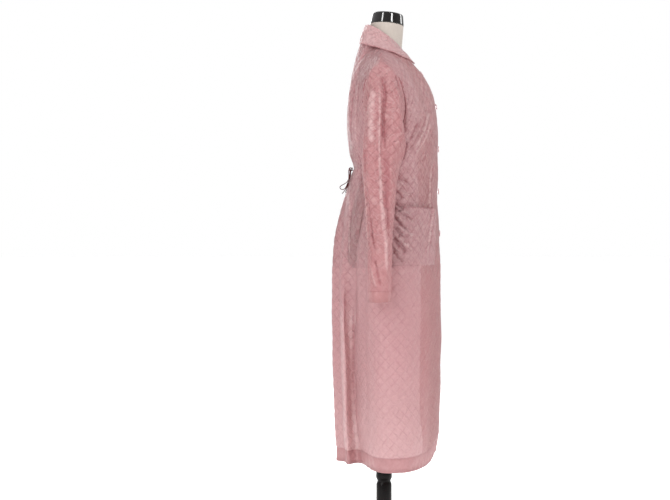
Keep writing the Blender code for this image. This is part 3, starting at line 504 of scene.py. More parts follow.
def hem_panel(part):
    """The band under a panel, from the hem's edge up to the panel."""
    columns = FRONT_COLUMNS if part == "front" else BACK_COLUMNS
    return skirt_grid(part, columns, np.linspace(HEM_HEIGHT, HEM_HEIGHT + HEM_BAND, BAND_ROWS + 1))


front_points, front_normals = body_panel("front")
back_points, back_normals = body_panel("back")
front_band, front_band_normals = hem_panel("front")
back_band, back_band_normals = hem_panel("back")
print("front grid:", front_points.shape[:2], "back grid:", back_points.shape[:2])

# %% [markdown]
# ## Creases, placed one by one
#
# Light nylon keeps sharp creases where it is caught: from the tip of the shoulder down the
# sleeve, from the bust to the armhole, and round the pocket. A cloth simulation would make
# folds of its own, in other places, so each main crease is a short line of (y, z) points seen
# from the side, with a half width and a depth; a depth above zero is a ridge. The line is laid
# on the grid, and every point near it moves in or out along its normal.

# %% Tables of creases
SLEEVE_CREASES = (
    (0.0040, -0.0042, ((0.0029, 1.3096), (0.0032, 1.2833), (-0.0013, 1.2517), (-0.0026, 1.2333),
                       (0.0000, 1.1992), (0.0018, 1.1545), (0.0011, 1.0888))),
    (0.0045, 0.0021, ((0.0150, 1.3000), (0.0120, 1.2517), (0.0110, 1.1992), (0.0125, 1.1545),
                      (0.0120, 1.0888), (0.0100, 1.0100), (0.0090, 0.9180))),
    (0.0080, -0.0025, ((0.0011, 1.0993), (-0.0016, 1.0100), (-0.0039, 0.9180))),
    (0.0100, 0.0025, ((0.0289, 1.2728), (0.0342, 1.1939), (0.0342, 1.0888))),
    (0.0045, -0.0035, ((0.0329, 1.2728), (0.0465, 1.2149), (0.0520, 1.1729), (0.0547, 1.0888),
                       (0.0491, 1.0178), (0.0460, 0.9837))),
    (0.0040, -0.0035, ((0.0460, 0.9837), (0.0415, 0.9443), (0.0378, 0.9127), (0.0350, 0.8943),
                       (0.0331, 0.8654), (0.0221, 0.8102))),
    (0.0035, 0.0024, ((0.0560, 1.0888), (0.0486, 0.9837), (0.0447, 0.9180), (0.0407, 0.8523),
                      (0.0394, 0.7945))),
    (0.0060, 0.0028, ((0.0092, 1.0888), (0.0053, 0.9837), (0.0026, 0.8917), (-0.0039, 0.8523),
                      (-0.0053, 0.7945), (-0.0079, 0.7340))),
    (0.0060, -0.0028, ((-0.0118, 1.0888), (-0.0105, 0.9837), (-0.0118, 0.8917), (-0.0131, 0.8391))),
    (0.0040, -0.0028, ((0.0289, 0.8102), (0.0158, 0.7603), (0.0079, 0.7209))),
    (0.0035, 0.0019, ((0.0355, 0.7945), (0.0276, 0.7577), (0.0184, 0.7209))),
    (0.0040, -0.0030, ((-0.0237, 1.2938), (-0.0323, 1.2938), (-0.0384, 1.2675), (-0.0473, 1.2517))),
)
FRONT_CREASES = (
    (0.0040, 0.0032, ((-0.1379, 1.0925), (-0.1292, 1.0571), (-0.1264, 1.0163), (-0.1251, 0.9619),
                      (-0.1264, 0.9021), (-0.1210, 0.8532), (-0.1142, 0.7934))),
    (0.0040, -0.0026, ((-0.1455, 1.0925), (-0.1368, 1.0571), (-0.1340, 1.0163), (-0.1327, 0.9619),
                       (-0.1340, 0.9021), (-0.1286, 0.8532), (-0.1218, 0.7934))),
    (0.0070, 0.0026, ((-0.1237, 1.2203), (-0.1115, 1.1659), (-0.0952, 1.1251), (-0.0789, 1.0925))),
    (0.0045, 0.0020, ((-0.1330, 1.1900), (-0.1180, 1.1450), (-0.0980, 1.1080), (-0.0800, 1.0800))),
    (0.0045, -0.0024, ((-0.1180, 1.1950), (-0.1020, 1.1500), (-0.0840, 1.1150), (-0.0640, 1.0900))),
    (0.0040, -0.0022, ((-0.1390, 1.1600), (-0.1280, 1.1200), (-0.1120, 1.0850), (-0.0960, 1.0600))),
    (0.0040, 0.0018, ((-0.0880, 1.1700), (-0.0740, 1.1350), (-0.0600, 1.1100))),
    (0.0070, -0.0034, ((-0.0979, 1.1795), (-0.0761, 1.1332), (-0.0653, 1.1197))),
    (0.0060, -0.0055, ((-0.0674, 1.1251), (-0.0503, 1.0789), (-0.0394, 1.0598))),
    (0.0050, -0.0030, ((-0.0449, 1.2067), (-0.0489, 1.1931), (-0.0544, 1.1659), (-0.0598, 1.1387))),
    (0.0032, -0.0028, ((-0.0280, 1.0300), (-0.0420, 1.0190), (-0.0700, 1.0110))),
    (0.0030, 0.0022, ((-0.0300, 1.0180), (-0.0450, 1.0070), (-0.0600, 0.9990))),
    (0.0034, -0.0030, ((-0.0294, 1.0000), (-0.0365, 0.9853), (-0.0560, 0.9658))),
    (0.0030, 0.0020, ((-0.0440, 0.9900), (-0.0620, 0.9790), (-0.0840, 0.9720))),
    (0.0032, -0.0032, ((-0.0258, 0.9600), (-0.0400, 0.9440), (-0.0580, 0.9340))),
    (0.0030, 0.0024, ((-0.0270, 0.9490), (-0.0420, 0.9350), (-0.0720, 0.9200))),
    (0.0032, -0.0030, ((-0.0330, 0.9390), (-0.0480, 0.9240), (-0.0820, 0.9060))),
    (0.0030, 0.0021, ((-0.0290, 0.9250), (-0.0420, 0.9110), (-0.0560, 0.9010))),
    (0.0034, -0.0036, ((-0.0260, 0.9150), (-0.0430, 0.8980), (-0.0640, 0.8800))),
    (0.0030, 0.0025, ((-0.0310, 0.8990), (-0.0520, 0.8790), (-0.0800, 0.8590))),
    (0.0034, -0.0034, ((-0.0250, 0.8890), (-0.0400, 0.8720), (-0.0560, 0.8580))),
    (0.0032, 0.0025, ((-0.0240, 0.8740), (-0.0489, 0.8480), (-0.0760, 0.8220))),
    (0.0034, -0.0035, ((-0.0218, 0.8600), (-0.0360, 0.8420), (-0.0600, 0.8170))),
    (0.0032, 0.0022, ((-0.0200, 0.8440), (-0.0330, 0.8280), (-0.0460, 0.8140))),
    (0.0034, -0.0029, ((-0.0190, 0.8290), (-0.0330, 0.8110), (-0.0540, 0.7879))),
)
BACK_CREASES = (
    (0.0050, -0.0035, ((0.0378, 0.6160), (0.0308, 0.5600))),
    (0.0050, -0.0030, ((0.0336, 0.5040), (0.0280, 0.4676))),
    (0.0036, -0.0028, ((0.0862, 0.6860), (0.0862, 0.4620), (0.0829, 0.4060), (0.0711, 0.2632))),
    (0.0060, -0.0028, ((0.0800, 1.3000), (0.0900, 1.2400), (0.0940, 1.1700), (0.0900, 1.1200))),
    (0.0050, 0.0022, ((0.0660, 1.3100), (0.0740, 1.2400), (0.0760, 1.1600), (0.0720, 1.1000))),
    (0.0035, 0.0028, ((0.0930, 1.0300), (0.0950, 0.9600), (0.0960, 0.8700), (0.0960, 0.7900))),
    (0.0050, -0.0030, ((0.0896, 1.1060), (0.0924, 1.0360), (0.0952, 0.9660))),
    (0.0050, -0.0030, ((0.0672, 1.1060), (0.0644, 1.0080), (0.0588, 0.9660))),
)


def crease(points, creases, shift=0.0, strength=1.0):
    """How far each point of a grid moves along its normal for a table of creases."""
    flat = points.reshape(-1, 3)
    moved = np.zeros(len(flat))
    for number, (half_width, depth, line) in enumerate(creases):
        sway = shift * math.sin(2.4 * number + 1.0)
        marks = np.array([(0.0, y + sway, z + 1.5 * sway) for y, z in line])
        marks = spaced(marks, max(6, int(lengths_along(marks)[-1] / 0.004)))
        laid = []
        for _, y, z in marks:
            miss = (flat[:, 1] - y) ** 2 + (flat[:, 2] - z) ** 2 - 0.0004 * flat[:, 0]
            laid.append(flat[int(np.argmin(miss))])
        laid = np.array(laid)
        reach = 3.0 * half_width
        near = np.all((flat > laid.min(axis=0) - reach) & (flat < laid.max(axis=0) + reach), axis=1)
        away = np.linalg.norm(flat[near, None, :] - laid[None], axis=2)
        nearest = np.argmin(away, axis=1)
        along = nearest / (len(laid) - 1.0)
        taper = eased(along, 0.0, 0.2) * eased(along, 1.0, 0.8)
        fall = bell(away[np.arange(len(nearest)), nearest], half_width)
        moved[near] += strength * depth * taper * fall
    return moved.reshape(points.shape[:2])


def crumple(points, size, height, seed):
    """A small smooth unevenness, the sum of waves in seeded directions."""
    chance = np.random.RandomState(seed)
    total = np.zeros(points.shape[:2])
    waves = 18
    for _ in range(waves):
        way = chance.normal(size=3)
        way *= 2.0 * math.pi / (size * chance.uniform(0.6, 1.6) * np.linalg.norm(way))
        total += np.sin(points @ way + chance.uniform(0.0, 6.28))
    return total * height / math.sqrt(waves / 2.0)


front_creased = crease(front_points, FRONT_CREASES)
print("deepest crease of the front:", round(1000 * float(front_creased.min()), 1), "mm")

# %% [markdown]
# ## Quilting in diamonds
#
# The two skins and the filling are stitched together along crossing slanted lines, and puff up
# between them. The pattern is worked out on the cloth as it lay flat: how far a point is round
# the panel, and how far up it. Both are also kept as the UV map, in metres, so the stitches of
# the material fall on the same lines as the valleys of the mesh.

# %% Quilting
DIAMOND_WIDTH = 0.028
DIAMOND_HEIGHT = 0.030
PUFF = 0.0010


def cloth_map(grid, origin=0):
    """Metres round and up the cloth at each point of a grid; origin is the column where u is 0."""
    across = np.linalg.norm(np.diff(grid, axis=1), axis=2)
    u = np.concatenate([np.zeros((len(grid), 1)), np.cumsum(across, axis=1)], axis=1)
    u = u - u[:, origin : origin + 1]
    upward = np.linalg.norm(np.diff(grid, axis=0), axis=2)
    v = np.concatenate([np.zeros((1, grid.shape[1])), np.cumsum(upward, axis=0)])
    return np.stack([u, v], axis=2)


def puffed(flat_map):
    """Height of the quilting over its stitched lines, from 0 to 1."""
    p = flat_map[..., 0] / DIAMOND_WIDTH + flat_map[..., 1] / DIAMOND_HEIGHT
    q = flat_map[..., 0] / DIAMOND_WIDTH - flat_map[..., 1] / DIAMOND_HEIGHT
    return (np.abs(np.sin(math.pi * p)) * np.abs(np.sin(math.pi * q))) ** 0.5


front_map = cloth_map(front_points)
back_map = cloth_map(back_points, BACK_COLUMNS // 2)
print("a front is cut", front_map.max(axis=(0, 1)).round(3).tolist(), "m wide and long")

# %% [markdown]
# ## The shape of the dress form
#
# The form is a padded torso, cut off at the hips and the neck. It is round work, so it is swept
# from ovals in a table of its widths. Its shape is worked out before the cloth, because thin
# nylon looks darker and greyer where the form is close behind it. Rays sent inward from the
# cloth find those places. The shade is a fixed colour on the cloth, so it is truest seen from
# the side, and from elsewhere it only comes near what see-through cloth would show.

# %% Torso of the form
FORM_COLUMNS = ("height", "half_width", "front_y", "back_y", "slope")
FORM_SECTIONS = (
    (0.775, 0.150, -0.098, 0.088, 0.00), (0.787, 0.161, -0.107, 0.097, 0.00),
    (0.840, 0.170, -0.113, 0.102, 0.00), (0.920, 0.166, -0.110, 0.094, 0.00),
    (1.000, 0.140, -0.102, 0.074, 0.00), (1.060, 0.122, -0.099, 0.064, 0.00),
    (1.130, 0.132, -0.116, 0.074, 0.00), (1.200, 0.146, -0.142, 0.084, 0.00),
    (1.260, 0.156, -0.130, 0.083, 0.00), (1.310, 0.172, -0.098, 0.077, 0.00),
    (1.332, 0.177, -0.074, 0.072, 0.00), (1.347, 0.1645, -0.060, 0.068, 0.00),
    (1.359, 0.138, -0.054, 0.064, 0.00), (1.371, 0.106, -0.052, 0.058, 0.00),
    (1.386, 0.0775, -0.051, 0.053, 0.00), (1.405, 0.0594, -0.051, 0.048, 0.00),
    (1.430, 0.051, -0.053, 0.043, 0.04), (1.4775, 0.048, -0.0565, 0.0394, 0.08),
)
FORM_SIDES = 96
SEEN_NEAR = 0.055  # the form shows fully through cloth that hangs nearer than this
SEEN_FAR = 0.130


def form_rings():
    heights = np.unique(np.concatenate([np.linspace(0.775, 1.4775, 110), [0.787]]))
    angles = 2.0 * math.pi * np.arange(FORM_SIDES) / FORM_SIDES
    points = []
    for height in heights:
        row = read(FORM_COLUMNS, FORM_SECTIONS, height)
        middle = (row["front_y"] + row["back_y"]) / 2
        half_depth = (row["back_y"] - row["front_y"]) / 2
        for angle in angles:
            away = (math.degrees(angle) % 90.0 - 58.0) / 1.2
            inward = 1.0 - 0.006 * math.exp(-(away**2))
            x = row["half_width"] * math.cos(angle) * inward
            y = middle + half_depth * math.sin(angle) * inward
            points.append((x, y, height + y * row["slope"]))
    return points, ring_faces(len(heights), FORM_SIDES, capped=True)


form_points, form_faces = form_rings()
form_tree = BVHTree.FromPolygons([tuple(map(float, point)) for point in form_points], form_faces)


def form_behind(places, outward):
    """How much of the form shows through cloth, as painted shade, at each place, 0 to 1.

    One ray goes straight in and one goes across from the side, and the more the cloth faces
    sideways, the more the second one counts. Cloth that faces up catches the light instead.
    """
    far = np.full((2, len(places)), SEEN_FAR)
    level = unit(outward * np.array([1.0, 1.0, 0.0]))
    for number, (place, way) in enumerate(zip(places.tolist(), level.tolist())):
        across = -math.copysign(1.0, way[0])
        for ray, inward in enumerate(((-way[0], -way[1], 0.0), (across, 0.0, 0.0))):
            hit = form_tree.ray_cast(place, inward, SEEN_FAR)[3]
            if hit is not None:
                far[ray, number] = hit
    straight, sideways = eased(far, SEEN_FAR, SEEN_NEAR)
    share = eased(np.abs(level[:, 0]), 0.05, 0.35)
    return ((1 - share) * straight + share * sideways) * (1 - 0.7 * outward[:, 2] ** 2)


print("torso:", len(form_faces), "faces")

# %% [markdown]
# ## From a grid to a sheet of cloth
#
# Real cloth is about a millimetre thick, too thin to show except at a free edge, where it is
# turned in. So each panel is one layer of faces: half the work for the renderer, and light can
# pass through it as through real nylon. At a free edge a few more rows roll the cloth over, and
# at a seam one more row is tucked behind the next piece, as its seam allowance is.

# %% Sheets and their edges
CLOTH = 0.0018  # thickness of quilted cloth
SEAM_ALLOWANCE = 0.004
RELIEF_SPAN = 0.011  # from the deepest crease that is coloured to the highest ridge
# painted shade where the form stops the light through the cloth, how strong in front and at the back
FRONT_SEEN = 0.18  # how strongly the form shows through, in front and at the back
BACK_SEEN = 0.80
# painted shade: sleeves and cuffs are darkened as two layers of cloth, which let less light through
SLEEVE_LAYER_SHADE = 1.0  # an empty sleeve hangs flat, so it is as dark as two layers
CUFF_LAYER_SHADE = 0.7
FORM_STOPS = 0.45  # share of a second layer's shade that is lost where the form stops the light


def moved_down(map_row, distance):
    """A row of the cloth map, moved down by a distance."""
    moved = map_row.copy()
    moved[:, 1] -= distance
    return moved


def rolled(points, normals, flat_map, turn_in=0.008, radius=CLOTH / 2):
    """Adds rows below the first one that roll the edge inward and run a little way up inside."""
    down = unit(points[0] - points[1])
    rows, turned, maps = [], [], []
    for angle in (50, 95, 140, 180):
        a = math.radians(angle)
        rows.append(points[0] + down * radius * math.sin(a) - normals[0] * radius * (1 - math.cos(a)))
        turned.append(unit(normals[0] * math.cos(a) + down * math.sin(a)))
        maps.append(moved_down(flat_map[0], radius * a))
    rows.append(rows[-1] - down * turn_in)
    turned.append(-normals[0])
    maps.append(moved_down(maps[-1], turn_in))
    return (
        np.concatenate([rows[::-1], points]),
        np.concatenate([turned[::-1], normals]),
        np.concatenate([maps[::-1], flat_map]),
    )


def tucked(points, normals, flat_map, reach=SEAM_ALLOWANCE, depth=0.0012):
    """Adds one row below the first, past the seam and behind the next piece."""
    row = points[0] + unit(points[0] - points[1]) * reach - normals[0] * depth
    return (
        np.concatenate([[row], points]),
        np.concatenate([[normals[0]], normals]),
        np.concatenate([[moved_down(flat_map[0], reach)], flat_map]),
    )


def with_relief(flat_map, moved):
    """The cloth map with how far creases moved each point as a third column."""
    return np.concatenate([flat_map, moved[..., None]], axis=2)


def at_edge(finish, edge, parts, **sizes):
    """Applies rolled or tucked at the bottom, top, left or right edge of a grid."""
    if edge in ("left", "right"):
        parts = [part.swapaxes(0, 1) for part in parts]
    if edge in ("top", "right"):
        parts = [part[::-1] for part in parts]
    parts = finish(*parts, **sizes)
    if edge in ("top", "right"):
        parts = [part[::-1] for part in parts]
    if edge in ("left", "right"):
        parts = [part.swapaxes(0, 1) for part in parts]
    return list(parts)


def sheet_piece(name, parts, side, cloth, loop=False, faced=0.0, seen=FRONT_SEEN, doubled=0.0):
    """A sheet of cloth as an object: one layer of quads, smooth, with the cloth map as UVs.

    Its attribute "behind" holds painted shade and light: the form's shade in red, as much as
    seen, and in green a second layer's shade, out to the given reach from the edge, or doubled
    all over, and weaker where the form is behind. Blue is above half on a ridge, for a painted
    highlight, and below half in a crease, for painted shade.
    """
    points, normals, flat_map = parts
    relief = flat_map[..., 2] if flat_map.shape[2] > 2 else np.zeros(points.shape[:2])
    flat_map = flat_map[..., :2]
    rows, columns = points.shape[:2]
    numbers = np.arange(rows * columns).reshape(rows, columns)
    right = np.roll(numbers, -1, axis=1) if loop else numbers[:, 1:]
    left = numbers if loop else numbers[:, :-1]
    quads = np.stack([left[:-1], right[:-1], right[1:], left[1:]], axis=2).reshape(-1, 4)
    placed = on_side(points, side).reshape(-1, 3)
    outward = on_side(normals, side).reshape(-1, 3)
    a, b, c = (placed[quads[:, k]] for k in range(3))
    if np.sum(np.cross(b - a, c - b) * outward[quads[:, 0]]) < 0.0:
        quads = quads[:, ::-1]
    piece = placed_mesh(name, placed.tolist(), quads.tolist())
    piece.data.materials.append(cloth)
    layer = piece.data.uv_layers.new(name="cloth")
    corner_map = flat_map.reshape(-1, 2)[quads]
    if loop:
        across = flat_map[:, 1, 0] - flat_map[:, 0, 0]
        around = (across * columns)[quads // columns]
        jump = corner_map[..., 0] - corner_map[..., 0].max(axis=1, keepdims=True) < -0.05
        corner_map[..., 0] = np.where(jump, corner_map[..., 0] + around, corner_map[..., 0])
    layer.data.foreach_set("uv", corner_map.reshape(-1))
    behind = np.zeros((rows * columns, 4))
    from_edge = flat_map[..., 0].reshape(-1)
    form = form_behind(placed, outward)
    second = eased(from_edge, faced + 0.0015, faced - 0.0015) if faced else doubled
    # painted shade of the form in red and of a second layer in green; painted shade and highlight of
    # creases in blue
    behind[:, 0] = seen * form
    behind[:, 1] = second * (1 - FORM_STOPS * form)
    behind[:, 2] = np.clip(0.5 + relief.reshape(-1) / RELIEF_SPAN, 0.0, 1.0)
    shown = piece.data.color_attributes.new("behind", "FLOAT_COLOR", "POINT")
    shown.data.foreach_set("color", behind.reshape(-1))
    return piece


def cut_of(grid, loop=False):
    """Width, length and area of a grid of cloth as it is cut, in metres and square metres."""
    if loop:
        grid = np.concatenate([grid, grid[:, :1]], axis=1)
    across = np.linalg.norm(np.diff(grid, axis=1), axis=2)
    upward = np.linalg.norm(np.diff(grid, axis=0), axis=2)
    diagonals = grid[1:, 1:] - grid[:-1, :-1], grid[1:, :-1] - grid[:-1, 1:]
    twice = np.linalg.norm(np.cross(*diagonals), axis=2)
    return float(across.sum(axis=1).max()), float(upward.sum(axis=0).max()), float(twice.sum() / 2)


def sew(node, parts, side, cloth, grid, loop=False, held="hung", rests_on="form_torso", **shade):
    """Makes the sheet that stands for a solid, and says the size that it was cut to."""
    piece = sheet_piece(node + "_cloth", parts, side, cloth, loop, **shade)
    width, length, area = cut_of(grid, loop)
    area = min(area, width * length)
    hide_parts(node)
    print(piece.name, "is cut", round(width, 3), "x", round(length, 3), "m,", round(area, 3), "m2")


print("a seam allowance reaches", round(1000 * SEAM_ALLOWANCE), "mm behind the next piece")

# %% [markdown]
# ## Nylon with stitches
#
# The cloth is a thin satin weave in faded pink. Light shines off it and also through it, which
# is why the folds glow a deeper red. One shader mixes a Principled surface with a Translucent
# one. The stitched lines are drawn from the UV map with a ping-pong of the two slanted
# coordinates, so they need no picture, and the same distance makes the bump. Painted shade
# in the creases, stitched valleys and wrinkles, painted highlights on the ridges, painted light
# low on the skirt, and the painted shade of the form and of a second layer are in the colour.

# %% Cloth materials
class Nodes:
    """A small helper that adds shader nodes to a material or a sky and links them."""

    def __init__(self, owner):
        owner.use_nodes = True
        self.owner = owner
        self.tree = owner.node_tree

    def fill(self, node, values):
        """Links or sets inputs of a node, which are told by name or by number."""
        for place, value in values.items():
            if isinstance(value, bpy.types.NodeSocket):
                self.tree.links.new(value, node.inputs[place])
            elif value is not None:
                node.inputs[place].default_value = value

    def add(self, kind, *values, out=0, **settings):
        made = self.tree.nodes.new(kind)
        for key, value in settings.items():
            setattr(made, key, value)
        self.fill(made, dict(enumerate(values)))
        return made.outputs[out]

    def math(self, operation, *values):
        return self.add("ShaderNodeMath", *values, operation=operation)

    def noise(self, where, scale, detail=3.0, roughness=0.5):
        return self.add("ShaderNodeTexNoise", where, None, scale, detail, roughness)

    def ramp(self, value, low, high, low_to=0.0, high_to=1.0):
        values = (value, low, high, low_to, high_to)
        return self.add("ShaderNodeMapRange", *values, interpolation_type="SMOOTHSTEP")

    def crushed(self, flat, turn, scale):
        """Distance from the nearest of many long wrinkles that run one way over the cloth."""
        turns = (0.0, 0.0, turn)
        placed = self.add("ShaderNodeMapping", flat, None, turns, (1.0, 2.6, 1.0), vector_type="TEXTURE")
        return self.math("ABSOLUTE", self.math("SUBTRACT", self.noise(placed, scale, 2.0, 0.5), 0.5))

    def blend(self, share, first, second):
        """A mix of two colours; they are inputs 6 and 7 of the node, after those for numbers."""
        made = self.tree.nodes.new("ShaderNodeMix")
        made.data_type = "RGBA"
        self.fill(made, {0: share, 6: first, 7: second})
        return made.outputs[2]

    def bump(self, height, strength, distance, under=None):
        made = self.tree.nodes.new("ShaderNodeBump")
        values = {"Strength": strength, "Distance": distance, "Height": height, "Normal": under}
        self.fill(made, values)
        return made.outputs["Normal"]


# the pale colour is for painted highlights and painted light; the form's and the second layer's colours
# below are for painted shade
PALE = (0.860, 0.660, 0.650, 1.0)
FORM_SHADOW_COLOUR = (0.320, 0.190, 0.190, 1.0)
FORM_SHADE = 0.80
LAYER_SHADOW_COLOUR = (0.450, 0.190, 0.185, 1.0)
FACING_SHADE = 0.55
# painted shade in creases and seams, painted highlight on ridges
CREASE_SHADE = 0.48  # how far a deep crease turns to the deep colour
RIDGE_SHADE = 0.50  # how far a high ridge turns pale
SEE_THROUGH = 0.45  # share of the surface that lets light pass
SHEEN_TINT = (1.0, 0.86, 0.88, 1.0)


def nylon(name, colour, deep, glow, quilted, faded=0.30):
    """Thin satin nylon: colour where lit, deep in its stitched lines, glow where light passes, with painted
    shade in the deep colour and painted highlights in pale over its creases and wrinkles.
    """
    n = Nodes(bpy.data.materials.new(name))
    flat = n.add("ShaderNodeUVMap", uv_map="cloth")
    place = n.add("ShaderNodeTexCoord", out=3)
    parts = n.add("ShaderNodeSeparateXYZ", flat).node
    u, v = parts.outputs[0], parts.outputs[1]
    height_up = n.add("ShaderNodeSeparateXYZ", place, out=2)
    behind = n.add("ShaderNodeVertexColor", layer_name="behind")
    shows = n.add("ShaderNodeSeparateColor", behind).node
    form_shadow, second_layer_shade, relief = shows.outputs[0], shows.outputs[1], shows.outputs[2]
    mottle = n.ramp(n.noise(place, 9.0, 4.0), 0.35, 0.65)
    fleck = n.ramp(n.noise(place, 130.0, 3.0), 0.3, 0.7)
    light = n.blend(n.math("MULTIPLY", mottle, 0.35), colour, glow)
    # painted light: the cloth turns paler towards the hem, by as much as faded says
    light = n.blend(n.ramp(height_up, 0.62, 0.24, 0.0, faded), light, PALE)
    # painted shade where the form behind stops the light through the cloth, then where a second layer does
    light = n.blend(n.math("MULTIPLY", form_shadow, FORM_SHADE), light, FORM_SHADOW_COLOUR)
    light = n.blend(n.math("MULTIPLY", second_layer_shade, FACING_SHADE), light, LAYER_SHADOW_COLOUR)
    light = n.blend(n.math("MULTIPLY", fleck, 0.12), light, deep)
    # painted shade in creases and seams, and painted highlight on ridges and in the back's side folds
    light = n.blend(n.ramp(relief, 0.42, 0.05, 0.0, CREASE_SHADE), light, deep)
    light = n.blend(n.ramp(relief, 0.58, 0.88, 0.0, RIDGE_SHADE), light, PALE)
    normal = n.bump(n.noise(place, 900.0, 2.0, 0.6), 0.15, 0.0003)  # the weave
    pucker = n.noise(place, 110.0, 4.0, 0.6)
    crush = n.noise(place, 34.0, 3.0, 0.5)
    rising = n.crushed(flat, -0.85, 62.0)
    falling = n.crushed(flat, 0.70, 52.0)
    wrinkled_above = n.ramp(height_up, 0.70, 0.90, 0.30, 1.0)
    # painted shade along one set of wrinkles and painted highlights along the other, stronger higher up
    light = n.blend(n.math("MULTIPLY", wrinkled_above, n.ramp(rising, 0.0, 0.050, 0.32, 0.0)), light, deep)
    light = n.blend(n.math("MULTIPLY", wrinkled_above, n.ramp(falling, 0.0, 0.050, 0.20, 0.0)), light, PALE)
    folded = n.math("MULTIPLY", n.math("ADD", rising, falling), wrinkled_above)
    normal = n.bump(folded, 0.9, 0.0110, normal)
    if quilted:
        slanted = []
        for way in ("ADD", "SUBTRACT"):
            turns = n.math(way, n.math("DIVIDE", u, DIAMOND_WIDTH), n.math("DIVIDE", v, DIAMOND_HEIGHT))
            slanted.append(n.math("PINGPONG", turns, 0.5))
        nearest = n.math("MINIMUM", *slanted)
        valley = n.ramp(nearest, 0.0, 0.16, 1.0, 0.0)
        seam = n.ramp(nearest, 0.012, 0.035, 1.0, 0.0)
        ticks = n.math("PINGPONG", n.math("DIVIDE", v, 0.0036), 0.5)
        stitch = n.math("MULTIPLY", seam, n.ramp(ticks, 0.10, 0.16))
        # painted shade in the stitched valleys, stronger higher up
        sunk = n.math("MULTIPLY", valley, n.ramp(height_up, 0.70, 0.95, 0.08, 0.33))
        light = n.blend(n.math("MULTIPLY", sunk, n.ramp(crush, 0.35, 0.65, 0.4, 1.0)), light, deep)
        light = n.blend(n.math("MULTIPLY", stitch, n.ramp(crush, 0.40, 0.62, 0.04, 0.34)), light, deep)
        gathered = n.math("MULTIPLY", pucker, n.ramp(nearest, 0.0, 0.3, 1.6, 1.0))
        height = n.math("SUBTRACT", gathered, n.math("MULTIPLY", valley, 0.5))
        normal = n.bump(crush, 0.8, 0.0060, normal)
        normal = n.bump(height, 0.8, 0.0026, normal)
    else:
        normal = n.bump(crush, 0.7, 0.0050, normal)
        normal = n.bump(pucker, 0.6, 0.0016, normal)
    rough = n.ramp(pucker, 0.3, 0.7, 0.30, 0.42)
    sheen = {"Sheen Weight": 0.25, "Sheen Roughness": 0.35, "Sheen Tint": SHEEN_TINT}
    shader = n.tree.nodes["Principled BSDF"]
    n.fill(shader, {"Base Color": light, "Roughness": rough, "Normal": normal, **sheen})
    through = n.add("ShaderNodeBsdfTranslucent", n.blend(0.6, light, glow))
    n.fill(through.node, {"Normal": normal})
    mixed = n.add("ShaderNodeMixShader", SEE_THROUGH, shader.outputs[0], through)
    n.fill(n.tree.nodes["Material Output"], {"Surface": mixed})
    return n.owner


quilted_nylon = nylon(
    "quilted faded pink nylon",
    colour=(0.615, 0.362, 0.376, 1.0),
    deep=(0.340, 0.100, 0.120, 1.0),
    glow=(0.650, 0.372, 0.386, 1.0),
    quilted=True,
)
# paler than the quilted cloth: painted light on the collar, which catches the light on top
plain_nylon = nylon(
    "plain faded pink nylon",
    colour=(0.700, 0.458, 0.464, 1.0),
    deep=(0.400, 0.150, 0.170, 1.0),
    glow=(0.725, 0.476, 0.478, 1.0),
    quilted=False,
    faded=0.0,
)
# darker than the single cloth: painted shade, for the light that two layers stop
doubled_shaded_nylon = nylon(
    "doubled faded pink nylon",
    colour=(0.530, 0.292, 0.298, 1.0),
    deep=(0.320, 0.100, 0.120, 1.0),
    glow=(0.570, 0.305, 0.310, 1.0),
    quilted=False,
    faded=0.0,
)
print("materials so far:", [made.name for made in bpy.data.materials if "nylon" in made.name])

# %% [markdown]
# ## The two fronts
#
# Each front runs from the middle of the coat to the side seam and the armhole. The right one
# laps over the left, so the left is set in a little near its edge. Both are the same grid,
# mirrored, but the creases of the left are moved and eased, because no two sides hang alike.

# %% Fronts
FACING_COLUMN = 48  # column of the front where the facing behind it ends
# painted shade on the front, for the facing's second layer behind it, over a band wider than the facing
SHADED_EDGE_WIDTH = 0.190  # metres from the edge as far as the front looks darker, as if doubled
SEAM_WIDTH = 0.0035
SEAM_DEPTH = 0.0010
# painted shade along the seams
SEAM_SHADE = 0.005  # a seam is coloured like a crease this deep
LEFT_INSET = 0.0064
LAP_FULL = 0.052
LAP_FADE = 0.115


def seam_valleys(flat_map, edges):
    """How deep each point lies in the valleys along the named seamed edges, 0 to 1."""
    u, v = flat_map[..., 0], flat_map[..., 1]
    deep = np.zeros(u.shape)
    away = {
        "left": u - u[:, :1],
        "right": u[:, -1:] - u,
        "bottom": np.abs(v - v[:1]),
        "top": np.abs(v[-1:] - v),
    }
    for edge in edges:
        deep = np.maximum(deep, bell(away[edge], SEAM_WIDTH))
    return deep


def lay_front(side):
    """The shape of one front: its cloth points, and how far creases moved them."""
    points = front_points
    reach = front_map[..., 0] - front_map[:, :1, 0]
    if side > 0:
        inward = LEFT_INSET * (1 - eased(reach, LAP_FULL, LAP_FADE))
        points = points - front_normals * inward[..., None]
        creased = crease(points, FRONT_CREASES, shift=0.008, strength=1.8)
        uneven = crumple(points, 0.11, 0.0006, 12)
    else:
        creased = 2.0 * front_creased
        uneven = crumple(points, 0.11, 0.0010, 11)
    lap = eased(reach, 0.030, 0.060) if side > 0 else 1.0
    creased = creased * lap
    moved = creased + uneven * lap
    shoulder = eased(points[..., 2], 1.31, 1.36)
    moved = np.where(moved < 0.0, moved * (1 - shoulder), moved)
    return points + front_normals * moved[..., None], creased


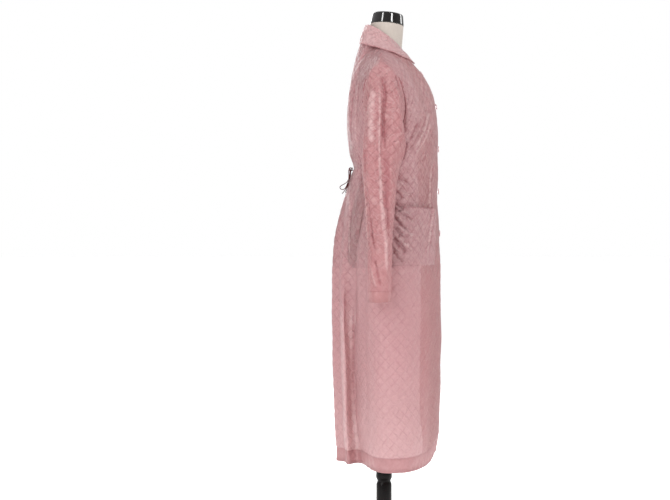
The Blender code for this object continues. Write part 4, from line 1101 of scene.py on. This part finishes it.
def make_front(side, node):
    shape, creased = lay_front(side)
    placket = eased(front_map[..., 0], 0.026, 0.034)
    valleys = seam_valleys(front_map, ("right", "bottom", "top"))
    height = PUFF * puffed(front_map) * placket * (1 - valleys) - SEAM_DEPTH * valleys
    surface = shape + front_normals * height[..., None]
    shade = creased - SEAM_SHADE * valleys
    parts = [surface, front_normals, with_relief(front_map, shade)]
    parts = at_edge(tucked, "bottom", parts)
    parts = at_edge(tucked, "top", parts, reach=0.003, depth=0.0006)
    parts = at_edge(tucked, "right", parts)
    parts = at_edge(rolled, "left", parts)
    sew(node, parts, side, quilted_nylon, front_points, faced=SHADED_EDGE_WIDTH)
    return shape, creased


right_shape, right_creased = make_front(-1, "front_right")
left_shape, left_creased = make_front(+1, "front_left")

# %% [markdown]
# ## The back, gathered at the waist
#
# The back is one piece from side seam to side seam. The tie draws it in, so short folds stand
# above and below the waist and die out within a hand's width. They are a row of waves across
# the cloth whose height is greatest just off the waist line, where the channel pinches it flat.

# %% Back
WAIST_HEIGHT = 1.062
GATHER_WIDTH = 0.021
GATHER_DEPTH = 0.0028
GATHER_REACH = 0.055  # the gathers die out about this far from the waist
PINCH_REACH = 0.008  # nearer to it than this, the channel pinches them
GROOVE_DEPTH = 0.0016
GROOVE_WIDTH = 0.0045
# painted light: the deep side folds of the back are paled, to lift the shade in them
FOLD_GLOW = 0.0045  # inside the deep side folds the cloth is as pale as a ridge this high


def waist_gathers(points, flat_map):
    """Waves across the cloth either side of the waist line, and the groove of the line."""
    rise = points[..., 2] - WAIST_HEIGHT
    u = flat_map[..., 0]
    bend = 0.006 * np.sin(points[..., 2] * 31.0) + 0.004 * np.sin(u * 47.0)
    wave = np.sin(2.0 * math.pi * (u + bend) / GATHER_WIDTH)
    uneven = 0.75 + 0.25 * np.sin(u * 61.0 + 0.8)
    fade = bell(rise, GATHER_REACH) * (1 - 0.6 * bell(rise, PINCH_REACH))
    groove = -GROOVE_DEPTH * bell(rise, GROOVE_WIDTH)
    return (GATHER_DEPTH * wave * uneven * fade + groove) * eased(np.abs(u), 0.20, 0.15)


right_half = crease(on_side(back_points, 1), BACK_CREASES, strength=1.8)
left_half = crease(on_side(back_points, -1), BACK_CREASES, shift=0.008, strength=1.6)
back_creased = right_half + left_half + waist_gathers(back_points, back_map)
back_moved = back_creased + crumple(back_points, 0.12, 0.0006, 21)
blades = eased(back_points[..., 2], 1.29, 1.34)
back_moved = np.where(back_moved < 0.0, back_moved * (1 - blades), back_moved)
back_shape = back_points + back_normals * back_moved[..., None]
back_valleys = seam_valleys(back_map, ("left", "right", "bottom", "top"))
back_height = PUFF * puffed(back_map) * (1 - back_valleys) - SEAM_DEPTH * back_valleys
back_surface = back_shape + back_normals * back_height[..., None]
from_seam = np.minimum(back_map[..., 0] - back_map[:, :1, 0], back_map[:, -1:, 0] - back_map[..., 0])
in_fold = eased(from_seam, 0.080, 0.050) * eased(back_points[..., 2], 0.72, 0.60)
# painted light in the side folds, added to the relief so the folds turn pale
back_shade = back_creased + FOLD_GLOW * in_fold
back_parts = [back_surface, back_normals, with_relief(back_map, back_shade)]
back_parts = at_edge(tucked, "bottom", back_parts)
back_parts = at_edge(tucked, "top", back_parts, reach=0.003, depth=0.0006)
for side_edge in ("left", "right"):
    back_parts = at_edge(tucked, side_edge, back_parts, reach=0.006)
sew("back", back_parts, -1, quilted_nylon, back_points, seen=BACK_SEEN)

# %% [markdown]
# ## Facings and hem bands
#
# A facing is the strip behind each front edge, cut in plain cloth. It shows from outside only
# as a darker band, because light has one more layer to pass; that band is painted shade on
# the front. It copies the front's creased shape a little further in, so the two never cross.
# The hem bands are doubled plain cloth that carry on from the quilted panels and round off at
# the front corners; their darker colour is painted shade for the light two layers stop.

# %% Facings and bands
FACING_DEPTH = 0.0030
BAND_SEAM_DEPTH = 0.0008


def topstitched(from_edge):
    """The shallow groove of a row of stitches a few millimetres in from an edge."""
    return 0.0004 * bell(from_edge - 0.006, 0.0012)


def make_facing(side, node, shape):
    strip = slice(0, FACING_COLUMN + 1)
    inner = shape[:, strip] - front_normals[:, strip] * FACING_DEPTH
    parts = [inner, front_normals[:, strip], front_map[:, strip]]
    parts = at_edge(rolled, "right", parts, turn_in=0.004, radius=0.0006)
    sew(node, parts, side, doubled_shaded_nylon, front_points[:, strip])


def make_band(side, node, points, normals, shape, free_edges):
    """A plain band; its upper edge follows the panel above it, and its lower edge is rolled."""
    flat_map = cloth_map(points)
    moved = np.sum((shape[0] - points[-1]) * normals[-1], axis=1)
    share = np.linspace(0.4, 1.0, len(points))[:, None]
    wrinkle = crumple(points, 0.030, 0.0005, 31)
    valleys = seam_valleys(flat_map, ("top",))
    offset = moved * share + wrinkle * (1 - valleys) - BAND_SEAM_DEPTH * valleys
    offset = offset - topstitched(flat_map[-1:, :, 1] - flat_map[..., 1])
    parts = [points + normals * offset[..., None], normals, flat_map]
    for edge in ("left", "right"):
        finish = rolled if edge in free_edges else tucked
        parts = at_edge(finish, edge, parts)
    parts = at_edge(rolled, "bottom", parts)
    sew(node, parts, side, doubled_shaded_nylon, points)


make_facing(-1, "facing_right", right_shape)
make_facing(+1, "facing_left", left_shape)
make_band(-1, "hem_right", front_band, front_band_normals, right_shape, ("left",))
left_reach = cloth_map(front_band)[..., 0]
left_inward = LEFT_INSET * (1 - eased(left_reach, LAP_FULL, LAP_FADE))
left_band = front_band - front_band_normals * left_inward[..., None]
make_band(+1, "hem_left", left_band, front_band_normals, left_shape, ("left",))
make_band(-1, "hem_back", back_band, back_band_normals, back_shape, ())

# %% [markdown]
# ## Sleeves
#
# A sleeve is a tube. Its first ring is the edge of the armhole, and further rings are ovals
# that slope off the shoulder and narrow to the wrist, and a few soft folds run down it. It is
# empty, so it hangs flat, and the fold from the tip of the shoulder is the deepest of the coat.

# %% Sleeves
RING_COLUMNS = ("along", "outer_x", "outer_z", "inner_x", "inner_z", "centre_y", "half_depth")
SLEEVE_SECTIONS = (
    (0.00, 0.200, 1.350, 0.200, 1.100, 0.005, 0.053),
    (0.08, 0.230, 1.336, 0.214, 1.098, 0.004, 0.051),
    (0.17, 0.254, 1.298, 0.218, 1.091, 0.002, 0.049),
    (0.27, 0.276, 1.242, 0.220, 1.078, 0.000, 0.050),
    (0.38, 0.292, 1.166, 0.219, 1.050, -0.001, 0.056),
    (0.50, 0.300, 1.076, 0.218, 1.006, 0.009, 0.049),
    (0.62, 0.304, 0.984, 0.217, 0.940, 0.010, 0.040),
    (0.80, 0.306, 0.852, 0.217, 0.838, 0.012, 0.033),
    (1.00, 0.308, 0.716, 0.218, 0.716, 0.012, 0.031),
)
RING_FOLD_COLUMNS = ("turn", "width", "height", "start", "end")
SLEEVE_FOLDS = (  # turn: where round the ring, 0 outside, 0.25 in front, 0.5 inside
    (0.00, 0.060, -0.0150, -0.02, 0.72),
    (0.13, 0.050, 0.0050, 0.02, 0.60),
    (0.87, 0.050, 0.0060, 0.02, 0.80),
    (0.22, 0.045, -0.0060, 0.10, 0.46),
    (0.80, 0.045, -0.0060, 0.45, 1.10),
)
SLEEVE_COLUMNS = 192
SLEEVE_ROWS = 190
SLEEVE_SEAM_DEPTH = 0.0012
CUFF_BAND = 0.028
GAP = 0.0003


def armhole_ring():
    """The edge of the armhole as a ring: shoulder tip, down the front, up the back."""
    half = SLEEVE_COLUMNS // 2
    front_edge = spaced(front_points[SKIRT_ROWS:, -1], half)
    back_edge = spaced(back_points[SKIRT_ROWS:, 0], half)
    tip = (front_edge[-1] + back_edge[-1]) / 2 + np.array([GAP, 0.0, 0.0])
    pit = (front_edge[0] + back_edge[0]) / 2 + np.array([0.0, 0.0, GAP])
    return np.array([tip, *front_edge[-2:0:-1], pit, *back_edge[1:-1]])


def sleeve_grid():
    """Rings of the sleeve from the armhole to the cuff, and their outward normals."""
    edge = armhole_ring()
    turns = np.arange(SLEEVE_COLUMNS) / SLEEVE_COLUMNS
    angles = 2.0 * math.pi * turns
    rings = []
    for along in np.linspace(0.0, 1.0, SLEEVE_ROWS + 1):
        row = read(RING_COLUMNS, SLEEVE_SECTIONS, along)
        outer = np.array([row["outer_x"], row["centre_y"], row["outer_z"]])
        inner = np.array([row["inner_x"], row["centre_y"], row["inner_z"]])
        middle, arm = (outer + inner) / 2, (outer - inner) / 2
        depth = np.array([0.0, -row["half_depth"], 0.0])
        ring = middle + np.outer(np.cos(angles), arm) + np.outer(np.sin(angles), depth)
        for fold in named_rows(RING_FOLD_COLUMNS, SLEEVE_FOLDS):
            start, end = fold["start"], fold["end"]
            away = (turns - fold["turn"] + 0.5) % 1.0 - 0.5
            fade = eased(along, start, start + 0.12) * (1 - eased(along, end - 0.25, end))
            bump = fold["height"] * fade * bell(away, fold["width"])
            ring = ring + unit(ring - middle) * bump[:, None]
        settle = float(eased(along, 0.0, 0.18))
        share = np.array([min(along / 0.10, 1.0), settle, settle])
        rings.append((1 - share) * edge + share * ring)
    grid = np.array(rings)
    looped = np.concatenate([grid[:, -1:], grid, grid[:, :1]], axis=1)
    return grid, -normals_of(looped)[:, 1:-1]


def sleeve_cloth_map(grid):
    """Metres round from the outside of the arm, and metres up from the cuff, as the cloth is cut."""
    flat_map = cloth_map(np.concatenate([grid, grid[:, :1]], axis=1)[::-1])[::-1]
    around = flat_map[:, -1:, 0]
    flat_map = flat_map[:, :-1].copy()
    flat_map[..., 0] -= np.where(np.arange(SLEEVE_COLUMNS) > SLEEVE_COLUMNS // 2, around, 0.0)
    return flat_map


def make_sleeve(side, shift, seed):
    name = "right" if side < 0 else "left"
    points, normals = sleeve_points, sleeve_normals
    creased = crease(points, SLEEVE_CREASES, shift=shift, strength=1.7)
    moved = creased + crumple(points, 0.09, 0.0007, seed)
    seam = seam_valleys(sleeve_map, ("bottom", "top"))
    height = moved * (1 - seam) + PUFF * puffed(sleeve_map) * (1 - seam) - SLEEVE_SEAM_DEPTH * seam
    surface = points + normals * height[..., None]
    parts = [surface, normals, with_relief(sleeve_map, creased - SEAM_SHADE * seam)]
    parts = at_edge(tucked, "bottom", parts, reach=0.005, depth=0.0010)
    parts = at_edge(tucked, "top", parts)
    sew("sleeve_" + name, parts, side, quilted_nylon, points, loop=True, doubled=SLEEVE_LAYER_SHADE)
    down = unit(points[-1] - points[-2])
    steps = np.linspace(0.0, CUFF_BAND, 9)
    cuff = np.array([points[-1] + down * step for step in steps])
    cuff_normals = np.repeat(normals[-1:], len(steps), axis=0)
    cuff_map = sleeve_map[-1] - np.stack([0 * steps, steps], axis=1)[:, None]
    offset = crumple(cuff, 0.03, 0.0004, seed + 5) - BAND_SEAM_DEPTH * bell(steps, 0.003)[:, None]
    parts = [cuff + cuff_normals * offset[..., None], cuff_normals, cuff_map]
    parts = at_edge(rolled, "top", parts)
    sew("cuff_" + name, parts, side, doubled_shaded_nylon, cuff, loop=True, doubled=CUFF_LAYER_SHADE)


sleeve_points, sleeve_normals = sleeve_grid()
if np.sum(sleeve_normals * (sleeve_points - sleeve_points.mean(axis=1, keepdims=True))) < 0.0:
    sleeve_normals = -sleeve_normals
sleeve_map = sleeve_cloth_map(sleeve_points)
make_sleeve(-1, 0.0, 41)
make_sleeve(+1, 0.006, 42)

# %% [markdown]
# ## The collar
#
# The collar is one doubled piece: a stand rises from the neck seam, rolls over, and falls as a
# leaf to two points in front. Each station round the neck is a smooth curve through seven
# marks, and the leaf's edge is rolled and stitched.

# %% Collar
COLLAR_COLUMNS = ("around", "fold_x", "fold_y", "fold_z", "leaf_x", "leaf_y", "leaf_z")
COLLAR_SECTIONS = (  # around: 0 at the nape, 1 at the front edge
    (0.00, 0.000, 0.0520, 1.4790, 0.000, 0.0715, 1.4265),
    (0.25, 0.036, 0.0400, 1.4710, 0.052, 0.0640, 1.4160),
    (0.50, 0.060, 0.0080, 1.4500, 0.096, 0.0140, 1.3960),
    (0.70, 0.056, -0.0260, 1.4250, 0.100, -0.0330, 1.3800),
    (0.87, 0.034, -0.0520, 1.4020, 0.082, -0.0680, 1.3680),
    (1.00, 0.006, -0.0780, 1.3720, 0.048, -0.0880, 1.3600),
)
COLLAR_LIFT = 0.0009
COLLAR_STATIONS = 141
COLLAR_ROWS = 30
# painted shadow: a dark line along the leaf's edge, where it throws shade on the cloth under it
LEAF_SHADE = 0.0055  # the leaf's edge is coloured like a crease this deep
LEAF_SHADE_WIDTH = 0.0022


def collar_grid():
    """Rows from the neck seam over the fold to the leaf's edge, for stations round the neck."""
    neckline = np.vstack([drawn(NECKLINE_BACK, 120)[::-1], drawn(NECKLINE_FRONT, 120)[-2::-1]])
    reach = lengths_along(neckline)
    lines = []
    for station in np.linspace(-1.0, 1.0, COLLAR_STATIONS):
        row = read(COLLAR_COLUMNS, COLLAR_SECTIONS, abs(station))
        fold, leaf = (np.array([row[f"{part}_{axis}"] for axis in "xyz"]) for part in ("fold", "leaf"))
        seam = at_lengths([abs(station) * reach[-1]], reach, neckline)[0]
        seam = seam + np.array([0.0, 0.0, COLLAR_LIFT])
        outward = unit(np.array([fold[0], fold[1] + 0.012, 0.0]) + 1e-9)
        roll = min(0.004, 0.4 * float(np.linalg.norm(fold - seam)))
        sink = np.array([0.0, 0.0, roll])
        marks = [
            seam,
            (seam + fold) / 2 - outward * 0.0005,
            fold - outward * roll * 0.6 - sink,
            fold,
            fold + outward * roll - sink,
            (fold + leaf) / 2 + outward * 0.003,
            leaf,
        ]
        line = curve_at(marks, np.linspace(0.0, 6.0, COLLAR_ROWS + 1))
        if station < 0:
            line[:, 0] *= -1.0
        lines.append(line)
    return np.array(lines).swapaxes(0, 1)


collar_points = collar_grid()
collar_normals = normals_of(collar_points)
if collar_normals[-4, COLLAR_STATIONS // 2, 1] < 0.0:
    collar_normals = -collar_normals
collar_map = cloth_map(collar_points, COLLAR_STATIONS // 2)
leaf_share = eased(np.linspace(0.0, 1.0, COLLAR_ROWS + 1), 0.55, 0.8)[:, None]
leaf_edge = collar_map[-1:, :, 1] - collar_map[..., 1]
collar_moved = crumple(collar_points, 0.045, 0.0009, 51) * leaf_share
collar_moved = collar_moved - topstitched(leaf_edge)
collar_surface = collar_points + collar_normals * collar_moved[..., None]
# painted shadow along the leaf's edge
collar_shade = collar_moved - LEAF_SHADE * bell(leaf_edge, LEAF_SHADE_WIDTH)
collar_parts = [collar_surface, collar_normals, with_relief(collar_map, collar_shade)]
for side_edge in ("left", "right"):
    collar_parts = at_edge(rolled, side_edge, collar_parts, turn_in=0.003, radius=0.0006)
collar_parts = at_edge(rolled, "top", collar_parts, turn_in=0.006, radius=0.0014)
sew("collar", collar_parts, -1, plain_nylon, collar_points, held="folded")

# %% [markdown]
# ## Patch pockets
#
# A patch pocket is a square of the same quilted cloth stitched on three sides. It is made from
# the front's own points, moved out, so it hugs every fold under it, and its mouth gapes.

# %% Pockets
POCKET_COLUMNS = (36, 120)
POCKET_ROWS = (150, 195)
POCKET_LIFT = 0.0030
POCKET_GAPE = 0.009


def make_pocket(side, node, shape, creased):
    rows = slice(POCKET_ROWS[0], POCKET_ROWS[1] + 1)
    columns = slice(POCKET_COLUMNS[0], POCKET_COLUMNS[1] + 1)
    base, out = shape[rows, columns], front_normals[rows, columns]
    flat_map = with_relief(front_map, creased)[rows, columns]
    up = np.linspace(0.0, 1.0, base.shape[0])[:, None]
    across = np.linspace(0.0, 1.0, base.shape[1])[None, :]
    gape = POCKET_GAPE * eased(up, 0.6, 1.0) * np.sin(math.pi * across) ** 0.7
    edge = seam_valleys(flat_map, ("left", "right", "bottom"))
    from_mouth = flat_map[-1:, :, 1] - flat_map[..., 1]
    hem = eased(from_mouth, 0.014, 0.020)
    height = POCKET_LIFT * (1 - 0.5 * edge) + gape + 0.8 * PUFF * puffed(flat_map) * hem * (1 - edge)
    # painted shade along the pocket's stitched edges and in its gaping mouth
    flat_map[..., 2] -= SEAM_SHADE * np.maximum(0.5 * edge, bell(from_mouth, 0.0030))
    parts = [base + out * height[..., None], out, flat_map]
    for side_edge in ("left", "right", "bottom"):
        parts = at_edge(rolled, side_edge, parts, turn_in=0.002)
    parts = at_edge(rolled, "top", parts, turn_in=0.014)
    resting = node.replace("pocket", "front") + "_cloth"
    sew(node, parts, side, quilted_nylon, front_points[rows, columns], rests_on=resting)


make_pocket(-1, "pocket_right", right_shape, right_creased)
make_pocket(+1, "pocket_left", left_shape, left_creased)

# %% [markdown]
# ## Buttons
#
# Five flat buttons close the front, each with a raised rim, a dished middle and four holes sewn
# through with a cross of thread. A turned shape like this is a profile swept round an axis; the
# holes are small dark wells, which at this size read the same as holes cut right through.

# %% Buttons
BUTTON_PROFILE = (  # radius and rise, from the middle of the back, over the rim, to the middle
    (0.0000, 0.0000), (0.0074, 0.0000), (0.0087, 0.0006), (0.0090, 0.0014), (0.0088, 0.0023),
    (0.0081, 0.0029), (0.0072, 0.0029), (0.0064, 0.0024), (0.0050, 0.0021), (0.0000, 0.0020),
)


def swept(profile, sides):
    """Points and faces of a profile of (radius, height) turned about the z axis."""
    angles = np.linspace(0.0, 2.0 * math.pi, sides, endpoint=False)
    turned = np.stack([np.cos(angles), np.sin(angles)], axis=1)
    points = [(*(radius * way), height) for radius, height in profile for way in turned]
    return points, ring_faces(len(profile), sides)


def plain_material(name, colour, roughness, deep=None, grain=60.0, relief=0.0, coat=0.0, shine=0.5):
    """A hard or woven finish: two close shades, mottled, with a fine bump."""
    n = Nodes(bpy.data.materials.new(name))
    mottle = n.noise(n.add("ShaderNodeTexCoord", out=3), grain, 5.0, 0.6)
    values = {
        "Base Color": n.blend(n.ramp(mottle, 0.3, 0.7), colour, deep or colour),
        "Roughness": n.ramp(mottle, 0.3, 0.7, roughness * 0.85, roughness * 1.15),
        "Specular IOR Level": shine,
        "Coat Weight": coat,
        "Coat Roughness": 0.04,
        "Normal": n.bump(mottle, 0.4, relief) if relief else None,
    }
    n.fill(n.tree.nodes["Principled BSDF"], values)
    return n.owner


button_plastic = plain_material(
    "button plastic", (0.64, 0.42, 0.43, 1.0), 0.22, (0.56, 0.33, 0.35, 1.0), 220.0, coat=0.4
)
sewing_thread = plain_material(
    "sewing thread", (0.45, 0.20, 0.22, 1.0), 0.7, (0.36, 0.14, 0.16, 1.0), 900.0
)
HALF_THICKNESS = 0.0015
HOLE_AWAY = 0.0016  # how far a hole is from the middle, both across and up
WELL_PROFILE = ((0.0, 0.00215), (0.0008, 0.00215), (0.0010, 0.0023))
THREAD_RADIUS = 0.00035
THREAD_SEAT = 0.0024
THREAD_ARCH = 0.0005
THREAD_STEPS = 9
THREAD_SIDES = 6


def threads():
    """The cross of thread over a button: points and faces of each of its two stitches."""
    for way in (1, -1):
        points = []
        for step in np.linspace(-1.0, 1.0, THREAD_STEPS):
            for turn in range(THREAD_SIDES):
                a = math.pi * turn / 3.0
                rise = THREAD_SEAT + THREAD_ARCH * (1 - step * step) + THREAD_RADIUS * math.sin(a)
                sideways = THREAD_RADIUS * math.cos(a)
                points.append((HOLE_AWAY * step + sideways, way * (HOLE_AWAY * step - sideways), rise))
        yield points, ring_faces(THREAD_STEPS, THREAD_SIDES)


def wells():
    """The four dark holes of a button: points and faces of each."""
    for x, y in ((-1, -1), (-1, 1), (1, -1), (1, 1)):
        points, faces = swept(WELL_PROFILE, 12)
        yield [(a + HOLE_AWAY * x, b + HOLE_AWAY * y, c) for a, b, c in points], faces


def make_button(number):
    """A button laid against the cloth at its solid's place."""
    node = f"button_{number}"
    low, high = (np.array(corner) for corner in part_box(node))
    centre = (low + high) / 2
    cloth = on_side(right_shape, -1).reshape(-1, 3)
    normals = on_side(front_normals, -1).reshape(-1, 3)
    nearest = np.argsort(np.linalg.norm(cloth - centre, axis=1))[:12]
    out = unit(normals[nearest].mean(axis=0))
    across = unit(np.array([1.0, 0.0, 0.0]) - out * out[0])
    upward = np.cross(out, across)
    points, faces = swept(BUTTON_PROFILE, 40)
    skins = [0] * len(faces)
    for detail_points, detail_faces in (*wells(), *threads()):
        start = len(points)
        points += detail_points
        faces += [tuple(start + k for k in face) for face in detail_faces]
        skins += [1] * len(detail_faces)
    points = np.array(points)
    points[:, 2] -= HALF_THICKNESS
    placed = centre + points @ np.array([across, upward, out])
    piece = placed_mesh(node + "_turned", placed.tolist(), faces)
    piece.data.polygons.foreach_set("material_index", skins)
    piece.data.materials.append(button_plastic)
    piece.data.materials.append(sewing_thread)
    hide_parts(node)
    return centre


print("buttons at heights:", [round(float(make_button(number)[2]), 3) for number in range(1, 6)])

# %% [markdown]
# ## The knot of the tie
#
# The bow is held by one turn of the same rouleau round the crossing. It is a closed ring, so it
# is swept as a small oval section carried round a circle.

# %% Knot and tie cloth
KNOT_RADIUS = 0.0047
KNOT_CENTRE = (0.0, 0.0967, 1.0600)
RING_STEPS = 48
TUBE_STEPS = 16

# far darker than the coat's pink cloth the tie is sewn from: painted shade on the thin cord
tie_nylon = plain_material(
    "rolled tie cloth",
    (0.130, 0.022, 0.028, 1.0),
    0.6,
    (0.070, 0.012, 0.015, 1.0),
    400.0,
    relief=0.0004,
    shine=0.2,
)
knot_points, knot_faces = [], []
for ring_step in range(RING_STEPS):
    turn = 2.0 * math.pi * ring_step / RING_STEPS
    out = np.array([0.0, math.cos(turn), math.sin(turn)])
    for tube_step in range(TUBE_STEPS):
        angle = 2.0 * math.pi * tube_step / TUBE_STEPS
        pinch = 1.0 + 0.08 * math.sin(5 * turn)
        sideways = np.array([1.6 * math.sin(angle), 0.0, 0.0])
        spot = np.array(KNOT_CENTRE) + out * KNOT_RADIUS
        knot_points.append(tuple(spot + (out * math.cos(angle) + sideways) * TIE_RADIUS * pinch))
for ring_step in range(RING_STEPS):
    for tube_step in range(TUBE_STEPS):
        here, there = ring_step * TUBE_STEPS, (ring_step + 1) % RING_STEPS * TUBE_STEPS
        after = (tube_step + 1) % TUBE_STEPS
        knot_faces.append((here + tube_step, there + tube_step, there + after, here + after))
knot = placed_mesh("tie_knot_turn", knot_points, knot_faces)
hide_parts("tie_knot")
for piece in (knot, tie_right, tie_left):
    piece.data.materials.append(tie_nylon)
print("knot:", len(knot_faces), "faces")

# %% [markdown]
# ## The dress form and its stand
#
# The form is a padded torso covered in grey jersey, cut off at the hips and the neck, with a
# gloss neck cap, on a turned and lacquered pole with a round foot. All of it is round work, so
# it is swept: ovals for the torso from the table of its widths, and profiles for the rest.

# %% Dress form
def solid_piece(name, points, faces, node, slot, material):
    piece = placed_mesh(name, [tuple(map(float, point)) for point in points], faces)
    piece.data.materials.append(material)
    piece.data.set_sharp_from_angle(angle=math.radians(40.0))
    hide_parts(node)
    print(name, "has", len(faces), "faces")


form_jersey = plain_material(
    "form jersey", (0.42, 0.370, 0.330, 1.0), 0.85, (0.355, 0.31, 0.275, 1.0), 500.0, 0.0004
)
black_gloss = plain_material("black gloss", (0.006, 0.005, 0.005, 1.0), 0.09, grain=8.0, shine=0.6)
black_wood = plain_material(
    "black turned wood", (0.003, 0.002, 0.002, 1.0), 0.30, (0.006, 0.004, 0.004, 1.0), 40.0, shine=0.15
)
solid_piece("form_torso_cover", form_points, form_faces, "form_torso", "form_jersey", form_jersey)

# %% Cap, pole and foot
neck = dict(zip(FORM_COLUMNS, FORM_SECTIONS[-1]))
neck_middle = (neck["front_y"] + neck["back_y"]) / 2
CAP_SEAT = neck["height"] + neck["slope"] * neck_middle + GAP
CAP_PROFILE = (
    (0.0, 0.0), (0.0470, 0.0000), (0.0483, 0.0005), (0.0488, 0.0016), (0.0486, 0.0040), (0.0480, 0.0080),
    (0.0454, 0.0260), (0.0449, 0.0290), (0.0440, 0.0306), (0.0425, 0.0318), (0.0380, 0.0328),
    (0.0250, 0.0335), (0.0, 0.0338),
)
POLE_PROFILE = (
    (0.0, 0.0363), (0.0240, 0.0363), (0.0240, 0.0500), (0.0226, 0.0530), (0.0200, 0.0620), (0.0206, 0.0680),
    (0.0225, 0.0800), (0.0225, 0.1480), (0.0216, 0.1510), (0.0195, 0.1560), (0.0195, 0.1600),
    (0.0225, 0.1650), (0.0235, 0.1700), (0.0232, 0.1750), (0.0225, 0.1850), (0.0208, 0.1950),
    (0.0205, 0.2000), (0.0205, 0.7747), (0.0, 0.7747),
)
BASE_PROFILE = (
    (0.0, 0.0), (0.1560, 0.0), (0.1588, 0.0012), (0.1600, 0.0040), (0.1600, 0.0160), (0.1588, 0.0188),
    (0.1560, 0.0200), (0.1100, 0.0216), (0.0600, 0.0240), (0.0480, 0.0256), (0.0420, 0.0280),
    (0.0402, 0.0320), (0.0400, 0.0360), (0.0, 0.0360),
)
tilt = math.atan(neck["slope"])
c, s = math.cos(tilt), math.sin(tilt)
cap_points, cap_faces = swept(CAP_PROFILE, 96)
leaned = [(x, y * c - z * s + neck_middle, y * s + z * c + CAP_SEAT) for x, y, z in cap_points]
solid_piece("form_neck_cap_turned", leaned, cap_faces, "form_neck_cap", "black_gloss", black_gloss)
solid_piece("form_pole_turned", *swept(POLE_PROFILE, 64), "form_pole", "black_wood", black_wood)
solid_piece("form_base_turned", *swept(BASE_PROFILE, 128), "form_base", "black_wood", black_wood)

# %% [markdown]
# ## Floor and light
#
# The coat was lit evenly in a white room. A large pale floor that glows a little and a sky that
# the camera sees as white give the same; to the cloth the sky is brighter above and behind, so
# the folds keep some shape. Two tall soft lamps stand either side of the camera and draw the
# two upright highlights on the neck cap. A third shines through the coat from its far side, and
# a fourth lights the front edge.

# %% Floor, sky and lamps
floor_material = plain_material("pale floor", (0.86, 0.86, 0.86, 1.0), 0.75, (0.84, 0.84, 0.84, 1.0), 3.0)
floor_mesh = bpy.data.meshes.new("floor")
FLOOR_REACH = 150.0
corners = [(-FLOOR_REACH, -FLOOR_REACH, 0.0), (FLOOR_REACH, -FLOOR_REACH, 0.0)]
corners += [(FLOOR_REACH, FLOOR_REACH, 0.0), (-FLOOR_REACH, FLOOR_REACH, 0.0)]
floor_mesh.from_pydata(corners, [], [(0, 1, 2, 3)])
floor_mesh.materials.append(floor_material)
floor_shader = floor_material.node_tree.nodes["Principled BSDF"]
floor_shader.inputs["Emission Color"].default_value = (1.0, 1.0, 1.0, 1.0)
floor_shader.inputs["Emission Strength"].default_value = 0.42
floor = bpy.data.objects.new("floor", floor_mesh)
bpy.context.collection.objects.link(floor)

BRIGHT_WAY = (0.85, 0.55, 1.0)  # the sky is brighter above, beyond the coat and at its back
s = Nodes(bpy.data.worlds.new("white room"))
ways = s.add("ShaderNodeTexCoord", out="Generated")
facing_it = s.add("ShaderNodeVectorMath", ways, BRIGHT_WAY, out="Value", operation="DOT_PRODUCT")
strength = s.add("ShaderNodeMapRange", facing_it, -1.5, 1.5, 0.0, 0.92)
seen_by_camera = s.add("ShaderNodeLightPath", out="Is Camera Ray")
strength = s.add("ShaderNodeMix", seen_by_camera, None, strength, 1.0)
s.fill(s.tree.nodes["Background"], {"Color": (1.0, 1.0, 1.0, 1.0), "Strength": strength})
bpy.context.scene.world = s.owner


def hang_lamp(name, place, aim, width, height, power):
    lamp = bpy.data.lights.new(name, "AREA")
    lamp.shape = "RECTANGLE"
    lamp.size = width
    lamp.size_y = height
    lamp.energy = power
    made = bpy.data.objects.new(name, lamp)
    bpy.context.collection.objects.link(made)
    made.location = place
    made.rotation_euler = (Vector(aim) - Vector(place)).to_track_quat("-Z", "Y").to_euler()


hang_lamp("key lamp", (-2.4, -1.65, 2.6), (0.0, 0.0, 1.2), 0.5, 1.8, 66.0)
hang_lamp("strip lamp behind", (-2.5, 1.75, 2.3), (0.0, 0.05, 0.6), 0.4, 2.8, 64.0)
hang_lamp("back lamp", (2.8, 0.6, 1.8), (0.0, 0.0, 0.7), 1.6, 2.0, 56.0)
hang_lamp("rim lamp in front", (1.4, -2.8, 2.6), (0.0, 0.0, 1.1), 0.5, 1.6, 34.0)
bpy.context.scene.view_settings.view_transform = "Standard"

# %% The end
bpy.context.view_layer.update()
